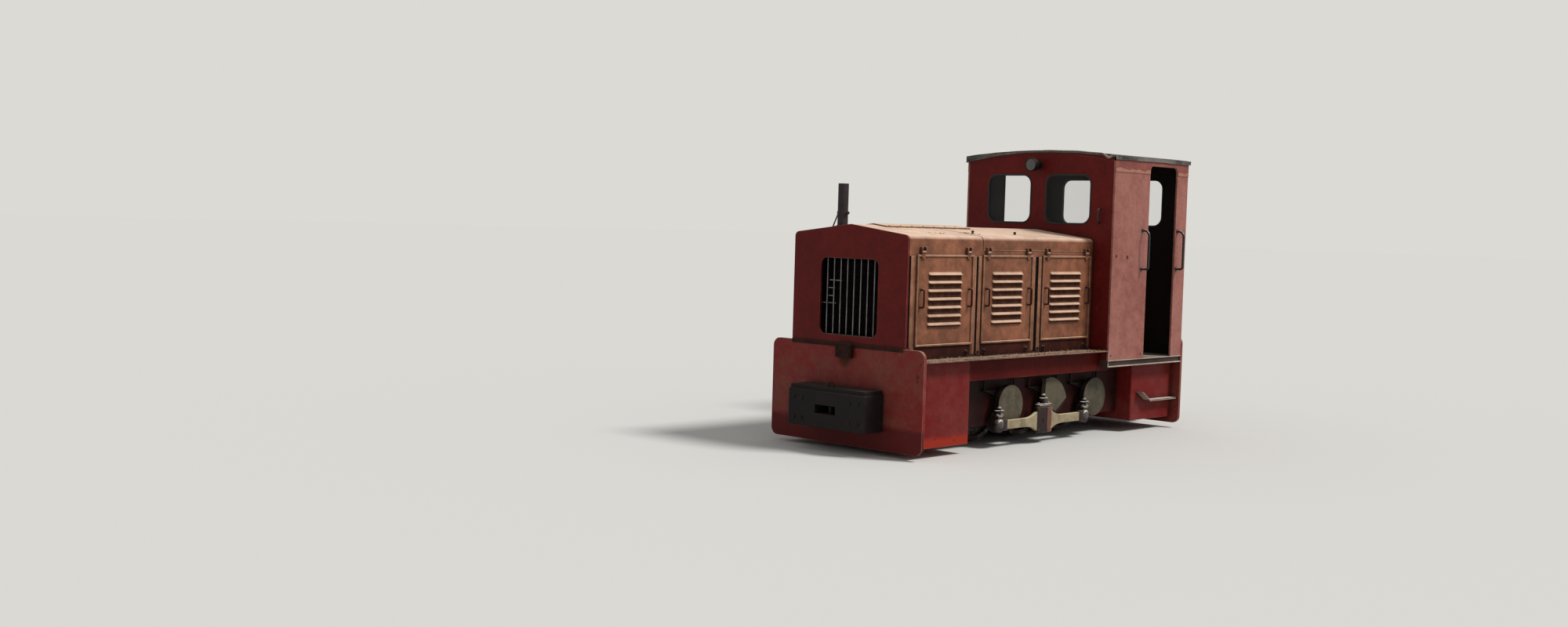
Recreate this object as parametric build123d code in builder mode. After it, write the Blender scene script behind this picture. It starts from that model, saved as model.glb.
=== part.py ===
from build123d import *

import os
from math import cos, radians, sin

# Narrow-gauge rod-coupled diesel locomotive, at its real size in millimetres.
# X points forward to the bonnet end, Y to the left side and Z up.
# Z = 0 is the floor under the wheel flanges, X = 0 the middle axle, Y = 0 the centreline.

os.makedirs("parts", exist_ok=True)

running_clearance = 0.3

# Wheels and axles. The axles stand as close together as the flanges allow.
tread_radius = 295
tread_taper = 4
flange_height = 20
flange_width = 24
flange_tip_width = 13
wheel_gap = 20
wheel_inner_y = 268
wheel_width = 97
wheel_rim = 48
wheel_dish = 34
wheel_hub_radius = 88
axle_radius = 50
bore_sides = 12
flange_radius = tread_radius + flange_height
axle_height = flange_radius
axle_spacing = 2 * flange_radius + wheel_gap
axles = {"front": axle_spacing, "middle": 0, "rear": -axle_spacing}

# Side frames outside the wheels, with their axleboxes and springs
frame_wheel_gap = 197
side_frame_thickness = 26
side_frame_drop = 125
horn_width = 172
horn_rise = 155
axlebox_clearance = 3
axlebox_height = 210
axlebox_depth = 46
spring_width = 40
spring_rise = 133
spring_leaf = 11
spring_leaves = 5
spring_half_length = 230
spring_seat_half_length = 34
spring_seat_depth = 22
side_frame_inner_y = wheel_inner_y + wheel_width + frame_wheel_gap
side_frame_outer_y = side_frame_inner_y + side_frame_thickness
side_frame_bottom = axle_height - side_frame_drop
spring_bottom = axle_height + spring_rise

# Cranks, counterweights and coupling rods, outside the springs
crank_spring_gap = 20
crank_thickness = 45
crank_throw = 171
crank_pin_radius = 34
crank_eye_radius = 64
crank_hub_radius = 100
left_crank_angle = -40
quartering = 90
counterweight_radius = 268
counterweight_half_width = 122
counterweight_corner = 22
disc_weight_radius = 177
disc_weight_offset = 83
rod_gap = 7
rod_thickness = 38
pin_overhang = 6
rod_end_height = 72
rod_waist_height = 76
rod_middle_height = 172
rod_flare_radius = 420
rod_waist_share = 0.5
middle_block_width = 220
middle_block_rise = 128
middle_block_drop = 108
end_block_length = 104
end_block_radius = 62
strap_inset = 3
stud_width = 14
stud_spacing = 28
stud_sink = 6
crank_inner_y = side_frame_outer_y + spring_width + crank_spring_gap
crank_outer_y = crank_inner_y + crank_thickness
rod_inner_y = crank_outer_y + rod_gap
rod_outer_y = rod_inner_y + rod_thickness
rod_mid_y = rod_inner_y + rod_thickness / 2

# Brakes, with a cross member over each pair of hangers
brake_gap = 7
brake_shoe_offset = 62
brake_shoe_width = 60
brake_shoe_depth = 46
brake_half_angle = 26
hanger_width = 32
hanger_depth = 40
hanger_bite = 12
hanger_drop = 60
brake_beam_size = 28
cross_member_height = 126
cross_member_width = 90
cross_member_setback = 52
brake_radius = tread_radius + brake_gap
brake_shoe_y = wheel_inner_y + brake_shoe_offset
hanger_x = axle_spacing + brake_radius + brake_shoe_depth
end_member_x = hanger_x + cross_member_setback

# Underframe, boards and ballast boxes
half_length = 1985
end_plate_thickness = 30
end_plate_bottom = 49
end_plate_rise = 93
end_plate_corner = 70
end_plate_overhang = 4
deck_top = 806
board_thickness = 8
board_overhang = 93
rod_valance_gap = 8
valance_thickness = 9
valance_depth = 182
box_bottom = 88
rear_box_rise = 24
front_box_gap = 156
rear_box_gap = 145
box_corner = 14
plate_inner_x = half_length - end_plate_thickness
board_bottom = deck_top - board_thickness
end_plate_top = deck_top + end_plate_rise
box_half_width = rod_outer_y + rod_valance_gap + valance_thickness
board_half_width = box_half_width + board_overhang
end_plate_half_width = board_half_width + end_plate_overhang
front_box_rear_x = end_member_x + cross_member_width / 2 + front_box_gap
rear_box_front_x = -(end_member_x + cross_member_width / 2 + rear_box_gap)

# Couplers and the bracket over the front one
coupler_length = 240
coupler_half_width = 432
coupler_bottom = 204
coupler_height = 304
coupler_lip = 24
coupler_lip_height = 36
coupler_corner = 16
coupler_pocket_width = 230
coupler_pocket_height = 74
coupler_pocket_depth = 190
coupler_pin_radius = 20
coupler_pin_setback = 75
bracket_half_width = 86
bracket_depth = 42
bracket_height = 119
bracket_rise = 6
bracket_back = 12
bracket_face = 10
bracket_throat = 46
coupler_top = coupler_bottom + coupler_height

# Cab, on a channel base between the rear end plate and the bonnet
cab_length = 1274
cab_wall = 20
cab_overhang = 2
cab_drop = 91
cab_side_height = 1855
base_height = 62
base_groove_depth = 12
base_flange = 10
cab_roof_rise = 88
roof_sheet = 18
roof_overhang = 16
doorway_rear_margin = 193
doorway_width = 485
doorway_head = 40
doorway_corner = 45
window_inner_y = 85
window_outer_y = 590
window_head = 143
window_height = 461
window_corner = 62
glass_thickness = 5
cab_half_width = board_half_width + cab_overhang
cab_inner_y = cab_half_width - cab_wall
cab_rear_x = -plate_inner_x
cab_front_x = cab_rear_x + cab_length
cab_bottom = deck_top - cab_drop
cab_base_bottom = cab_bottom - base_height
cab_eaves = cab_bottom + cab_side_height
cab_crown = cab_eaves + cab_roof_rise
doorway_rear_x = cab_rear_x + doorway_rear_margin
doorway_front_x = doorway_rear_x + doorway_width
doorway_top = cab_eaves - doorway_head
window_top = cab_eaves - window_head

# Cab fittings
headlight_radius = 64
headlight_length = 146
headlight_drop = 131
handrail_radius = 10
handrail_sides = 12
handrail_height = 847
handrail_length = 338
handrail_reach = 72
handrail_front_inset = 110
handrail_rear_inset = 30
handrail_bend = 34
step_height = 318
step_depth = 74
step_bar = 10
step_lift = 68
step_slope = 92
step_front_inset = 148
step_rear_inset = 15
desk_depth = 190
desk_half_width = 330
desk_height = 905
handwheel_radius = 84
handwheel_sides = 16
handwheel_rim = 16
handwheel_rise = 120
handwheel_stem = 28
handwheel_inset = 90
seat_setback = 260
seat_offset = -420
seat_height = 420
seat_post = 80
seat_length = 380
seat_width = 400
seat_cushion = 80
seat_back_thickness = 50
seat_back_width = 380
seat_back_height = 400
headlight_height = cab_crown - headlight_drop

# Bonnet. Its doors share what the posts between them leave of its side.
bonnet_half_width = 637
bonnet_side_height = 1021
bonnet_roof_rise = 79
bonnet_sheet = 12
bonnet_front_thickness = 20
bonnet_corner = 44
skirt_depth = 167
rear_post_width = 48
seam_offset = 4
sill_height = 14
sill_width = 40
cover_setback = 270
cover_length = 1145
cover_half_width = 150
cover_thickness = 12
bonnet_shoulder = deck_top + bonnet_side_height
bonnet_ridge = bonnet_shoulder + bonnet_roof_rise
bonnet_inner_y = bonnet_half_width - bonnet_sheet
skirt_bottom = bonnet_shoulder - skirt_depth
sill_top = deck_top + sill_height

# Bonnet doors: name, width of the post in front, share of the doors' length,
# louvre inset from the front and rear edges
door_table = [
    ("front", 88, 0.3366, 178, 134),
    ("middle", 130, 0.3254, 182, 133),
    ("rear", 148, 0.3380, 163, 141),
]
door_overlap = 12
door_rise = 109
door_sheet = 6
door_border = 17
door_border_depth = 12
door_seat_gap = 0.5
hinge_offset = 16
hinge_rise = 19
hinge_pin_radius = 7
hinge_knuckle_radius = 13
hinge_sides = 8
hinge_width = 40
hinge_inset = 72
hinge_ear = 8
hinge_ear_gap = 1
hinge_ear_reach = 10
hinge_ear_rise = 46
hinge_strap = 4
hinge_strap_length = 30
handle_inset = 56
handle_length = 145
handle_lift = 19
handle_bar = 12
handle_reach = 42
louvre_pitch = 72.5
louvre_rise = 167
louvre_head = 118
louvre_height = 36
louvre_depth = 24
louvre_lip = 5
latch_inset = 60
latch_width = 36
latch_height = 62
latch_thickness = 8
door_top = skirt_bottom + door_overlap
door_bottom = deck_top + door_rise
hinge_y = bonnet_half_width + hinge_offset
hinge_z = door_top + hinge_rise
handle_middle = (door_bottom + door_top) / 2 + handle_lift
louvre_bottom = door_bottom + louvre_rise
louvre_count = int((door_top - louvre_head - louvre_bottom - louvre_height) / louvre_pitch) + 1

doors = []
post_edges = []
door_run = plate_inner_x - cab_front_x - rear_post_width - sum(row[1] for row in door_table)
post_front_x = plate_inner_x
for place, post_width, share, inset_front, inset_rear in door_table:
    door_front_x = post_front_x - post_width
    post_edges.append((post_front_x, door_front_x))
    post_front_x = door_front_x - share * door_run
    doors.append((place, door_front_x, post_front_x, inset_front, inset_rear))
post_edges.append((post_front_x, cab_front_x))
roof_seam_x = doors[1][1] - seam_offset

# Grille, radiator, engine, gearbox and exhaust
grille_half_width = 325
grille_sill = 71
grille_head = 209
grille_corner = 62
grille_bar_count = 8
grille_bar = 11
grille_side_share = 0.8
grille_overlap = 14
radiator_setback = 155
radiator_depth = 80
radiator_margin = 75
radiator_head = 42
radiator_slat_count = 10
radiator_slat_depth = 38
radiator_slat_height = 6
engine_gap = 300
engine_length = 1210
engine_half_width = 300
engine_headroom = 267
gearbox_front_reach = 280
gearbox_rear_reach = 335
gearbox_half_width = 200
gearbox_drop = 110
gearbox_axle_gap = 6
exhaust_setback = 165
exhaust_y = -259
exhaust_radius = 45
exhaust_wall = 5
exhaust_rise = 343
exhaust_bore_depth = 200
grille_bottom = end_plate_top + grille_sill
grille_top = bonnet_shoulder - grille_head
radiator_x = plate_inner_x - radiator_setback
radiator_half_width = grille_half_width + radiator_margin
exhaust_x = plate_inner_x - exhaust_setback
exhaust_top = bonnet_ridge + exhaust_rise


def finish(builder, name):
    """Label a finished piece and write it to its own STEP file."""
    builder.part.label = name
    export_step(builder.part, f"parts/{name}.step")


def add_box(x0, x1, y0, y1, z0, z1, mode=Mode.ADD):
    """Add a block between two corners to the part under construction."""
    with Locations(((x0 + x1) / 2, (y0 + y1) / 2, (z0 + z1) / 2)):
        Box(abs(x1 - x0), abs(y1 - y0), abs(z1 - z0), mode=mode)


def end_plane(x):
    """Plane facing forward at x, with its own axes along Y and Z."""
    return Plane(origin=(x, 0, 0), x_dir=(0, 1, 0), z_dir=(1, 0, 0))


def side_plane(y, x=0, z=0):
    """Plane facing right at y, with its own axes along X and Z."""
    return Plane(origin=(x, y, z), x_dir=(1, 0, 0), z_dir=(0, -1, 0))


def side_frame_top(x):
    """Top of the side frames, lower under the cab floor."""
    return cab_base_bottom if x < cab_front_x else board_bottom


def roof_height(y):
    """Top of the folded bonnet roof at a distance from the centreline."""
    return bonnet_ridge - bonnet_roof_rise * abs(y) / bonnet_half_width


# Underframe

with BuildPart() as end_plates:
    for x0 in (-half_length, plate_inner_x):
        with BuildSketch(end_plane(x0)):
            with Locations((0, (end_plate_top + end_plate_bottom) / 2)):
                RectangleRounded(
                    2 * end_plate_half_width, end_plate_top - end_plate_bottom, end_plate_corner,
                )
        extrude(amount=end_plate_thickness)
finish(end_plates, "end_plates")

with BuildPart() as ballast_boxes:
    add_box(front_box_rear_x, plate_inner_x, -box_half_width, box_half_width, box_bottom, board_bottom)
    add_box(
        -plate_inner_x, rear_box_front_x, -box_half_width, box_half_width,
        box_bottom + rear_box_rise, cab_base_bottom,
    )
    upright_edges = ballast_boxes.edges().filter_by(Axis.Z)
    fillet(upright_edges.filter_by_position(Axis.X, rear_box_front_x, front_box_rear_x), box_corner)
finish(ballast_boxes, "ballast_boxes")

with BuildPart() as side_frames:
    for side in (-1, 1):
        y_in, y_out = side * side_frame_inner_y, side * side_frame_outer_y
        add_box(cab_front_x, front_box_rear_x, y_in, y_out, side_frame_bottom, board_bottom)
        add_box(rear_box_front_x, cab_front_x, y_in, y_out, side_frame_bottom, cab_base_bottom)
        for x in axles.values():
            add_box(
                x - horn_width / 2, x + horn_width / 2, y_in, y_out,
                side_frame_bottom, axle_height + horn_rise, mode=Mode.SUBTRACT,
            )
finish(side_frames, "side_frames")

with BuildPart() as cross_members:
    for x in (-end_member_x, -axle_spacing / 2, axle_spacing / 2, end_member_x):
        add_box(
            x - cross_member_width / 2, x + cross_member_width / 2, -side_frame_inner_y, side_frame_inner_y,
            side_frame_top(x) - cross_member_height, side_frame_top(x),
        )
finish(cross_members, "cross_members")

with BuildPart() as running_boards:
    for side in (-1, 1):
        add_box(
            cab_front_x, plate_inner_x, side * side_frame_inner_y, side * board_half_width,
            board_bottom, deck_top,
        )
finish(running_boards, "running_boards")

with BuildPart() as valances:
    for side in (-1, 1):
        add_box(
            cab_front_x, front_box_rear_x,
            side * (box_half_width - valance_thickness), side * box_half_width,
            board_bottom - valance_depth, board_bottom,
        )
finish(valances, "valances")

with BuildPart() as axleboxes:
    for side in (-1, 1):
        outer_y = side_frame_inner_y + axlebox_depth if side > 0 else -side_frame_inner_y
        for x in axles.values():
            with BuildSketch(side_plane(outer_y, x, axle_height)):
                Rectangle(horn_width - 2 * axlebox_clearance, axlebox_height)
                RegularPolygon(
                    axle_radius + running_clearance, bore_sides, major_radius=False, mode=Mode.SUBTRACT,
                )
            extrude(amount=axlebox_depth)
finish(axleboxes, "axleboxes")

with BuildPart() as couplers:
    for way in (1, -1):
        root, face = way * half_length, way * (half_length + coupler_length)
        add_box(root, face, -coupler_half_width, coupler_half_width, coupler_bottom, coupler_top)
        lip_half_width = coupler_half_width - coupler_lip / 2
        add_box(
            root, face - way * coupler_lip, -lip_half_width, lip_half_width,
            coupler_top, coupler_top + coupler_lip_height,
        )
    upright_edges = couplers.edges().filter_by(Axis.Z).group_by(Axis.X)
    chamfer(upright_edges[0] + upright_edges[-1], coupler_corner)
    for way in (1, -1):
        face = way * (half_length + coupler_length)
        pocket_z = (coupler_bottom + coupler_top) / 2
        add_box(
            face - way * coupler_pocket_depth, face, -coupler_pocket_width / 2, coupler_pocket_width / 2,
            pocket_z - coupler_pocket_height / 2, pocket_z + coupler_pocket_height / 2,
            mode=Mode.SUBTRACT,
        )
        with Locations((face - way * coupler_pin_setback, 0, pocket_z)):
            Cylinder(coupler_pin_radius, 2 * coupler_height, mode=Mode.SUBTRACT)
finish(couplers, "couplers")

with BuildPart() as front_bracket:
    bracket_top = end_plate_top + bracket_rise
    bracket_bottom = bracket_top - bracket_height
    bracket_front_x = half_length + bracket_depth
    add_box(
        half_length, bracket_front_x, -bracket_half_width, bracket_half_width, bracket_bottom, bracket_top,
    )
    add_box(
        half_length + bracket_back, bracket_front_x - bracket_face, -bracket_throat, bracket_throat,
        bracket_bottom, bracket_top, mode=Mode.SUBTRACT,
    )
finish(front_bracket, "front_bracket")


# Wheelsets, cranks and rods

def build_wheels(name, x):
    """The two flanged wheels of an axle, turned about the axle line: coned tread, rim, web and hub."""
    outer = wheel_inner_y + wheel_width
    rim_radius = tread_radius - wheel_rim
    profile = [
        (wheel_inner_y, 0), (wheel_inner_y, flange_radius),
        (wheel_inner_y + flange_tip_width, flange_radius), (wheel_inner_y + flange_width, tread_radius),
        (outer, tread_radius - tread_taper), (outer, rim_radius), (outer - wheel_dish, rim_radius),
        (outer - wheel_dish, wheel_hub_radius), (outer, wheel_hub_radius), (outer, 0),
    ]
    with BuildPart() as wheels:
        with BuildSketch(Plane(origin=(x, 0, axle_height), x_dir=(0, 1, 0), z_dir=(1, 0, 0))):
            with BuildLine():
                Polyline(*profile, close=True)
            make_face()
        revolve(axis=Axis((x, 0, axle_height), (0, 1, 0)))
        mirror(about=Plane.XZ)
        with BuildSketch(side_plane(outer, x, axle_height)):
            RegularPolygon(axle_radius + running_clearance, bore_sides, major_radius=False)
        extrude(amount=2 * outer, mode=Mode.SUBTRACT)
    finish(wheels, name)


def build_axle(name, x):
    """The straight axle that carries two wheels inside the frames and a crank on each end."""
    with BuildPart() as axle:
        with Locations(Location((x, 0, axle_height), (90, 0, 0))):
            Cylinder(axle_radius, 2 * crank_outer_y)
    finish(axle, name)


def pin_place(side):
    """Crank pin position from its axle and the crank's angle, quartered from side to side."""
    angle = left_crank_angle if side > 0 else left_crank_angle + quartering
    return crank_throw * cos(radians(angle)), crank_throw * sin(radians(angle)), angle


def counterweight(straight_sided):
    """Outline of a counterweight that points along +X from its axle."""
    with BuildSketch() as weight:
        if straight_sided:
            Circle(counterweight_radius)
            with Locations((counterweight_radius / 2, 0)):
                Rectangle(counterweight_radius, 2 * counterweight_half_width, mode=Mode.INTERSECT)
            fillet(weight.vertices().group_by(Axis.X)[-1], counterweight_corner)
        else:
            with Locations((disc_weight_offset, 0)):
                Circle(disc_weight_radius)
    return weight.sketch


def build_cranks(name, x, straight_sided):
    """The two cranks of an axle: web, counterweight and pin on each side."""
    with BuildPart() as cranks:
        for side in (1, -1):
            pin_x, pin_z, angle = pin_place(side)
            web_plane = side_plane(crank_outer_y if side > 0 else -crank_inner_y, x, axle_height)
            with BuildSketch(web_plane):
                with Locations((pin_x, pin_z)):
                    Circle(crank_eye_radius)
                with Locations(Location((0, 0, 0), (0, 0, angle))):
                    Polygon(
                        (0, -crank_hub_radius), (crank_throw, -crank_eye_radius),
                        (crank_throw, crank_eye_radius), (0, crank_hub_radius), align=None,
                    )
                add(counterweight(straight_sided), rotation=angle + 180)
                RegularPolygon(
                    axle_radius + running_clearance, bore_sides, major_radius=False, mode=Mode.SUBTRACT,
                )
            extrude(amount=crank_thickness)
            with BuildSketch(side_plane(side * crank_outer_y, x + pin_x, axle_height + pin_z)):
                Circle(crank_pin_radius)
            extrude(amount=-side * (rod_gap + rod_thickness + pin_overhang))
    finish(cranks, name)


for place, axle_x in axles.items():
    build_wheels(f"{place}_wheels", axle_x)
    build_axle(f"{place}_axle", axle_x)
    build_cranks(f"{place}_cranks", axle_x, place == "middle")


def build_rod_sections(name, side):
    """The two sections of one coupling rod, each flaring from its end bearing to the middle one."""
    pin_x, pin_z, _ = pin_place(side)
    face_y = rod_outer_y if side > 0 else -rod_inner_y
    end_x = axle_spacing - end_block_length
    middle_x = middle_block_width / 2
    waist_x = middle_x + (end_x - middle_x) * rod_waist_share
    half_end, half_waist, half_middle = rod_end_height / 2, rod_waist_height / 2, rod_middle_height / 2
    with BuildPart() as sections:
        for way in (1, -1):
            x_end, x_waist, x_middle = way * end_x, way * waist_x, way * middle_x
            with BuildSketch(side_plane(face_y, pin_x, axle_height + pin_z)):
                with BuildLine():
                    Line((x_end, half_end), (x_waist, half_waist))
                    RadiusArc((x_waist, half_waist), (x_middle, half_middle), -way * rod_flare_radius)
                    Line((x_middle, half_middle), (x_middle, -half_middle))
                    RadiusArc((x_middle, -half_middle), (x_waist, -half_waist), -way * rod_flare_radius)
                    Line((x_waist, -half_waist), (x_end, -half_end))
                    Line((x_end, -half_end), (x_end, half_end))
                make_face()
            extrude(amount=rod_thickness)
    finish(sections, name)


# Strap plates and oil cup over a bearing: height over its pin, half width, thickness
end_cup_table = [(82, 42, 8), (124, 54, 10), (150, 25, 14)]
middle_cup_table = [(142, 104, 7), (196, 45, 10), (226, 22, 14)]


def build_rod_bearings(name, side):
    """Bearing blocks of one coupling rod, with the studs, strap plates and oil cups over them."""
    pin_x, pin_z, _ = pin_place(side)
    pin_height = axle_height + pin_z
    face_y = rod_outer_y if side > 0 else -rod_inner_y
    half_middle = middle_block_width / 2
    blocks = [
        (axle_spacing, -end_block_length, 0, -end_block_radius, end_block_radius, end_cup_table),
        (0, -half_middle, half_middle, -middle_block_drop, middle_block_rise, middle_cup_table),
        (-axle_spacing, 0, end_block_length, -end_block_radius, end_block_radius, end_cup_table),
    ]
    y0, y1 = side * (rod_inner_y + strap_inset), side * (rod_outer_y - strap_inset)
    with BuildPart() as bearings:
        for centre_x, low_x, high_x, low_z, high_z, cups in blocks:
            x = pin_x + centre_x
            with BuildSketch(side_plane(face_y, x, pin_height)):
                with Locations(((low_x + high_x) / 2, (low_z + high_z) / 2)):
                    Rectangle(high_x - low_x, high_z - low_z)
                if centre_x:
                    Circle(end_block_radius)
                bearing_radius = crank_pin_radius + running_clearance
                RegularPolygon(bearing_radius, bore_sides, major_radius=False, mode=Mode.SUBTRACT)
            extrude(amount=rod_thickness)
            for height, half_width, thickness in cups:
                z = pin_height + height
                add_box(x - half_width, x + half_width, y0, y1, z, z + thickness)
            for stud_x in (x - stud_spacing / 2, x + stud_spacing / 2):
                add_box(
                    stud_x - stud_width / 2, stud_x + stud_width / 2,
                    side * rod_mid_y - stud_width / 2, side * rod_mid_y + stud_width / 2,
                    pin_height + high_z - stud_sink, pin_height + cups[-1][0],
                )
    finish(bearings, name)


for side_name, side in (("left", 1), ("right", -1)):
    build_rod_sections(f"{side_name}_coupling_rod", side)
    build_rod_bearings(f"{side_name}_rod_bearings", side)


# Springs and brakes

with BuildPart() as leaf_springs:
    for side in (-1, 1):
        y0, y1 = side * side_frame_outer_y, side * (side_frame_outer_y + spring_width)
        for x in axles.values():
            add_box(
                x - spring_seat_half_length, x + spring_seat_half_length,
                y0, side * (side_frame_outer_y + spring_seat_depth),
                axle_height + axlebox_height / 2, spring_bottom,
            )
            for i in range(spring_leaves):
                half = spring_half_length * (i + 2) / (spring_leaves + 1)
                z = spring_bottom + i * spring_leaf
                add_box(x - half, x + half, y0, y1, z, z + spring_leaf)
finish(leaf_springs, "leaf_springs")

with BuildPart() as brake_gear:
    for way in (-1, 1):
        front_x, back_x = way * (hanger_x - hanger_bite), way * (hanger_x - hanger_bite + hanger_depth)
        for side in (-1, 1):
            shoe_outer_y = side * brake_shoe_y + brake_shoe_width / 2
            with BuildSketch(side_plane(shoe_outer_y, way * axle_spacing, axle_height)):
                with BuildLine():
                    swing = radians(brake_half_angle)
                    end_x, end_z = way * brake_radius * cos(swing), brake_radius * sin(swing)
                    back = way * (brake_radius + brake_shoe_depth)
                    ThreePointArc((end_x, end_z), (way * brake_radius, 0), (end_x, -end_z))
                    Polyline((end_x, -end_z), (back, -end_z), (back, end_z), (end_x, end_z))
                make_face()
            extrude(amount=brake_shoe_width)
            hanger_y = side * brake_shoe_y
            add_box(
                front_x, back_x, hanger_y - hanger_width / 2, hanger_y + hanger_width / 2,
                axle_height - hanger_drop, side_frame_top(back_x) - cross_member_height,
            )
        add_box(
            back_x - way * brake_beam_size, back_x, -brake_shoe_y, brake_shoe_y,
            axle_height - hanger_drop, axle_height - hanger_drop + brake_beam_size,
        )
finish(brake_gear, "brake_gear")

with BuildPart() as gearbox_block:
    add_box(
        -axle_spacing - gearbox_rear_reach, -axle_spacing + gearbox_front_reach,
        -gearbox_half_width, gearbox_half_width, axle_height - gearbox_drop, cab_base_bottom,
    )
    with BuildSketch(side_plane(gearbox_half_width, -axle_spacing, axle_height)):
        RegularPolygon(axle_radius + gearbox_axle_gap, bore_sides, major_radius=False)
    extrude(amount=2 * gearbox_half_width, mode=Mode.SUBTRACT)
finish(gearbox_block, "gearbox_block")

with BuildPart() as engine_block:
    add_box(
        radiator_x - engine_gap - engine_length, radiator_x - engine_gap,
        -engine_half_width, engine_half_width, board_bottom, bonnet_shoulder - engine_headroom,
    )
finish(engine_block, "engine_block")


# Bonnet

def build_bonnet_roof(name, x_rear, x_front):
    """Folded roof sheet with rounded shoulders and a short skirt down each side."""
    inner_shoulder = bonnet_shoulder - bonnet_sheet
    with BuildPart() as roof:
        with BuildSketch(end_plane(x_rear)) as section:
            with BuildLine():
                Polyline(
                    (-bonnet_half_width, skirt_bottom), (-bonnet_half_width, bonnet_shoulder),
                    (0, bonnet_ridge), (bonnet_half_width, bonnet_shoulder),
                    (bonnet_half_width, skirt_bottom), (bonnet_inner_y, skirt_bottom),
                    (bonnet_inner_y, inner_shoulder),
                    (0, bonnet_ridge - bonnet_sheet), (-bonnet_inner_y, inner_shoulder),
                    (-bonnet_inner_y, skirt_bottom), close=True,
                )
            make_face()
            fillet([v for v in section.vertices() if abs(v.Y - bonnet_shoulder) < 1], bonnet_corner)
            fillet(
                [v for v in section.vertices() if abs(v.Y - inner_shoulder) < 1],
                bonnet_corner - bonnet_sheet,
            )
        extrude(amount=x_front - x_rear)
    finish(roof, name)


build_bonnet_roof("bonnet_roof_front", roof_seam_x, plate_inner_x)
build_bonnet_roof("bonnet_roof_rear", cab_front_x, roof_seam_x)

with BuildPart() as roof_cover:
    cover_front_x = plate_inner_x - cover_setback
    edge_z = roof_height(cover_half_width)
    with BuildSketch(end_plane(cover_front_x - cover_length)):
        with BuildLine():
            Polyline(
                (-cover_half_width, edge_z), (0, bonnet_ridge), (cover_half_width, edge_z),
                (cover_half_width, edge_z + cover_thickness), (0, bonnet_ridge + cover_thickness),
                (-cover_half_width, edge_z + cover_thickness), close=True,
            )
        make_face()
    extrude(amount=cover_length)
finish(roof_cover, "roof_cover")

with BuildPart() as bonnet_front:
    with BuildSketch(end_plane(plate_inner_x)) as front_outline:
        with BuildLine():
            Polyline(
                (-bonnet_half_width, end_plate_top), (-bonnet_half_width, bonnet_shoulder),
                (0, bonnet_ridge), (bonnet_half_width, bonnet_shoulder),
                (bonnet_half_width, end_plate_top), close=True,
            )
        make_face()
        fillet([v for v in front_outline.vertices() if abs(v.Y - bonnet_shoulder) < 1], bonnet_corner)
        with Locations((0, (grille_bottom + grille_top) / 2)):
            RectangleRounded(
                2 * grille_half_width, grille_top - grille_bottom, grille_corner, mode=Mode.SUBTRACT,
            )
    extrude(amount=bonnet_front_thickness)
finish(bonnet_front, "bonnet_front")

with BuildPart() as grille_bars:
    bar_pitch = 2 * grille_half_width / (grille_bar_count - 1 + 2 * grille_side_share)
    for i in range(grille_bar_count):
        y = (i - (grille_bar_count - 1) / 2) * bar_pitch
        add_box(
            plate_inner_x - grille_bar, plate_inner_x, y - grille_bar / 2, y + grille_bar / 2,
            grille_bottom - grille_overlap, grille_top + grille_overlap,
        )
finish(grille_bars, "grille_bars")

with BuildPart() as radiator:
    core_x = radiator_x + radiator_depth
    add_box(
        radiator_x, core_x, -radiator_half_width, radiator_half_width,
        board_bottom, grille_top + radiator_head,
    )
    for i in range(radiator_slat_count):
        z = grille_bottom + (i + 0.5) * (grille_top - grille_bottom) / radiator_slat_count
        add_box(
            core_x, core_x + radiator_slat_depth, -radiator_half_width, radiator_half_width,
            z - radiator_slat_height / 2, z + radiator_slat_height / 2,
        )
finish(radiator, "radiator")

with BuildPart() as bonnet_posts:
    for side in (-1, 1):
        for front_x, rear_x in post_edges:
            add_box(
                rear_x, front_x, side * bonnet_inner_y, side * bonnet_half_width, sill_top, skirt_bottom,
            )
finish(bonnet_posts, "bonnet_posts")

with BuildPart() as bonnet_sills:
    for side in (-1, 1):
        sill_inner_y, latch_outer_y = bonnet_half_width - sill_width, bonnet_half_width + latch_thickness
        add_box(
            cab_front_x, plate_inner_x, side * sill_inner_y, side * bonnet_half_width, deck_top, sill_top,
        )
        for _, front_x, rear_x, _, _ in doors:
            add_box(
                rear_x, front_x, side * bonnet_inner_y, side * bonnet_half_width,
                sill_top, door_bottom + door_border / 2,
            )
            for x in (rear_x + latch_inset, front_x - latch_inset):
                add_box(
                    x - latch_width / 2, x + latch_width / 2, side * bonnet_half_width, side * latch_outer_y,
                    deck_top, deck_top + latch_height,
                )
finish(bonnet_sills, "bonnet_sills")


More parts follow.
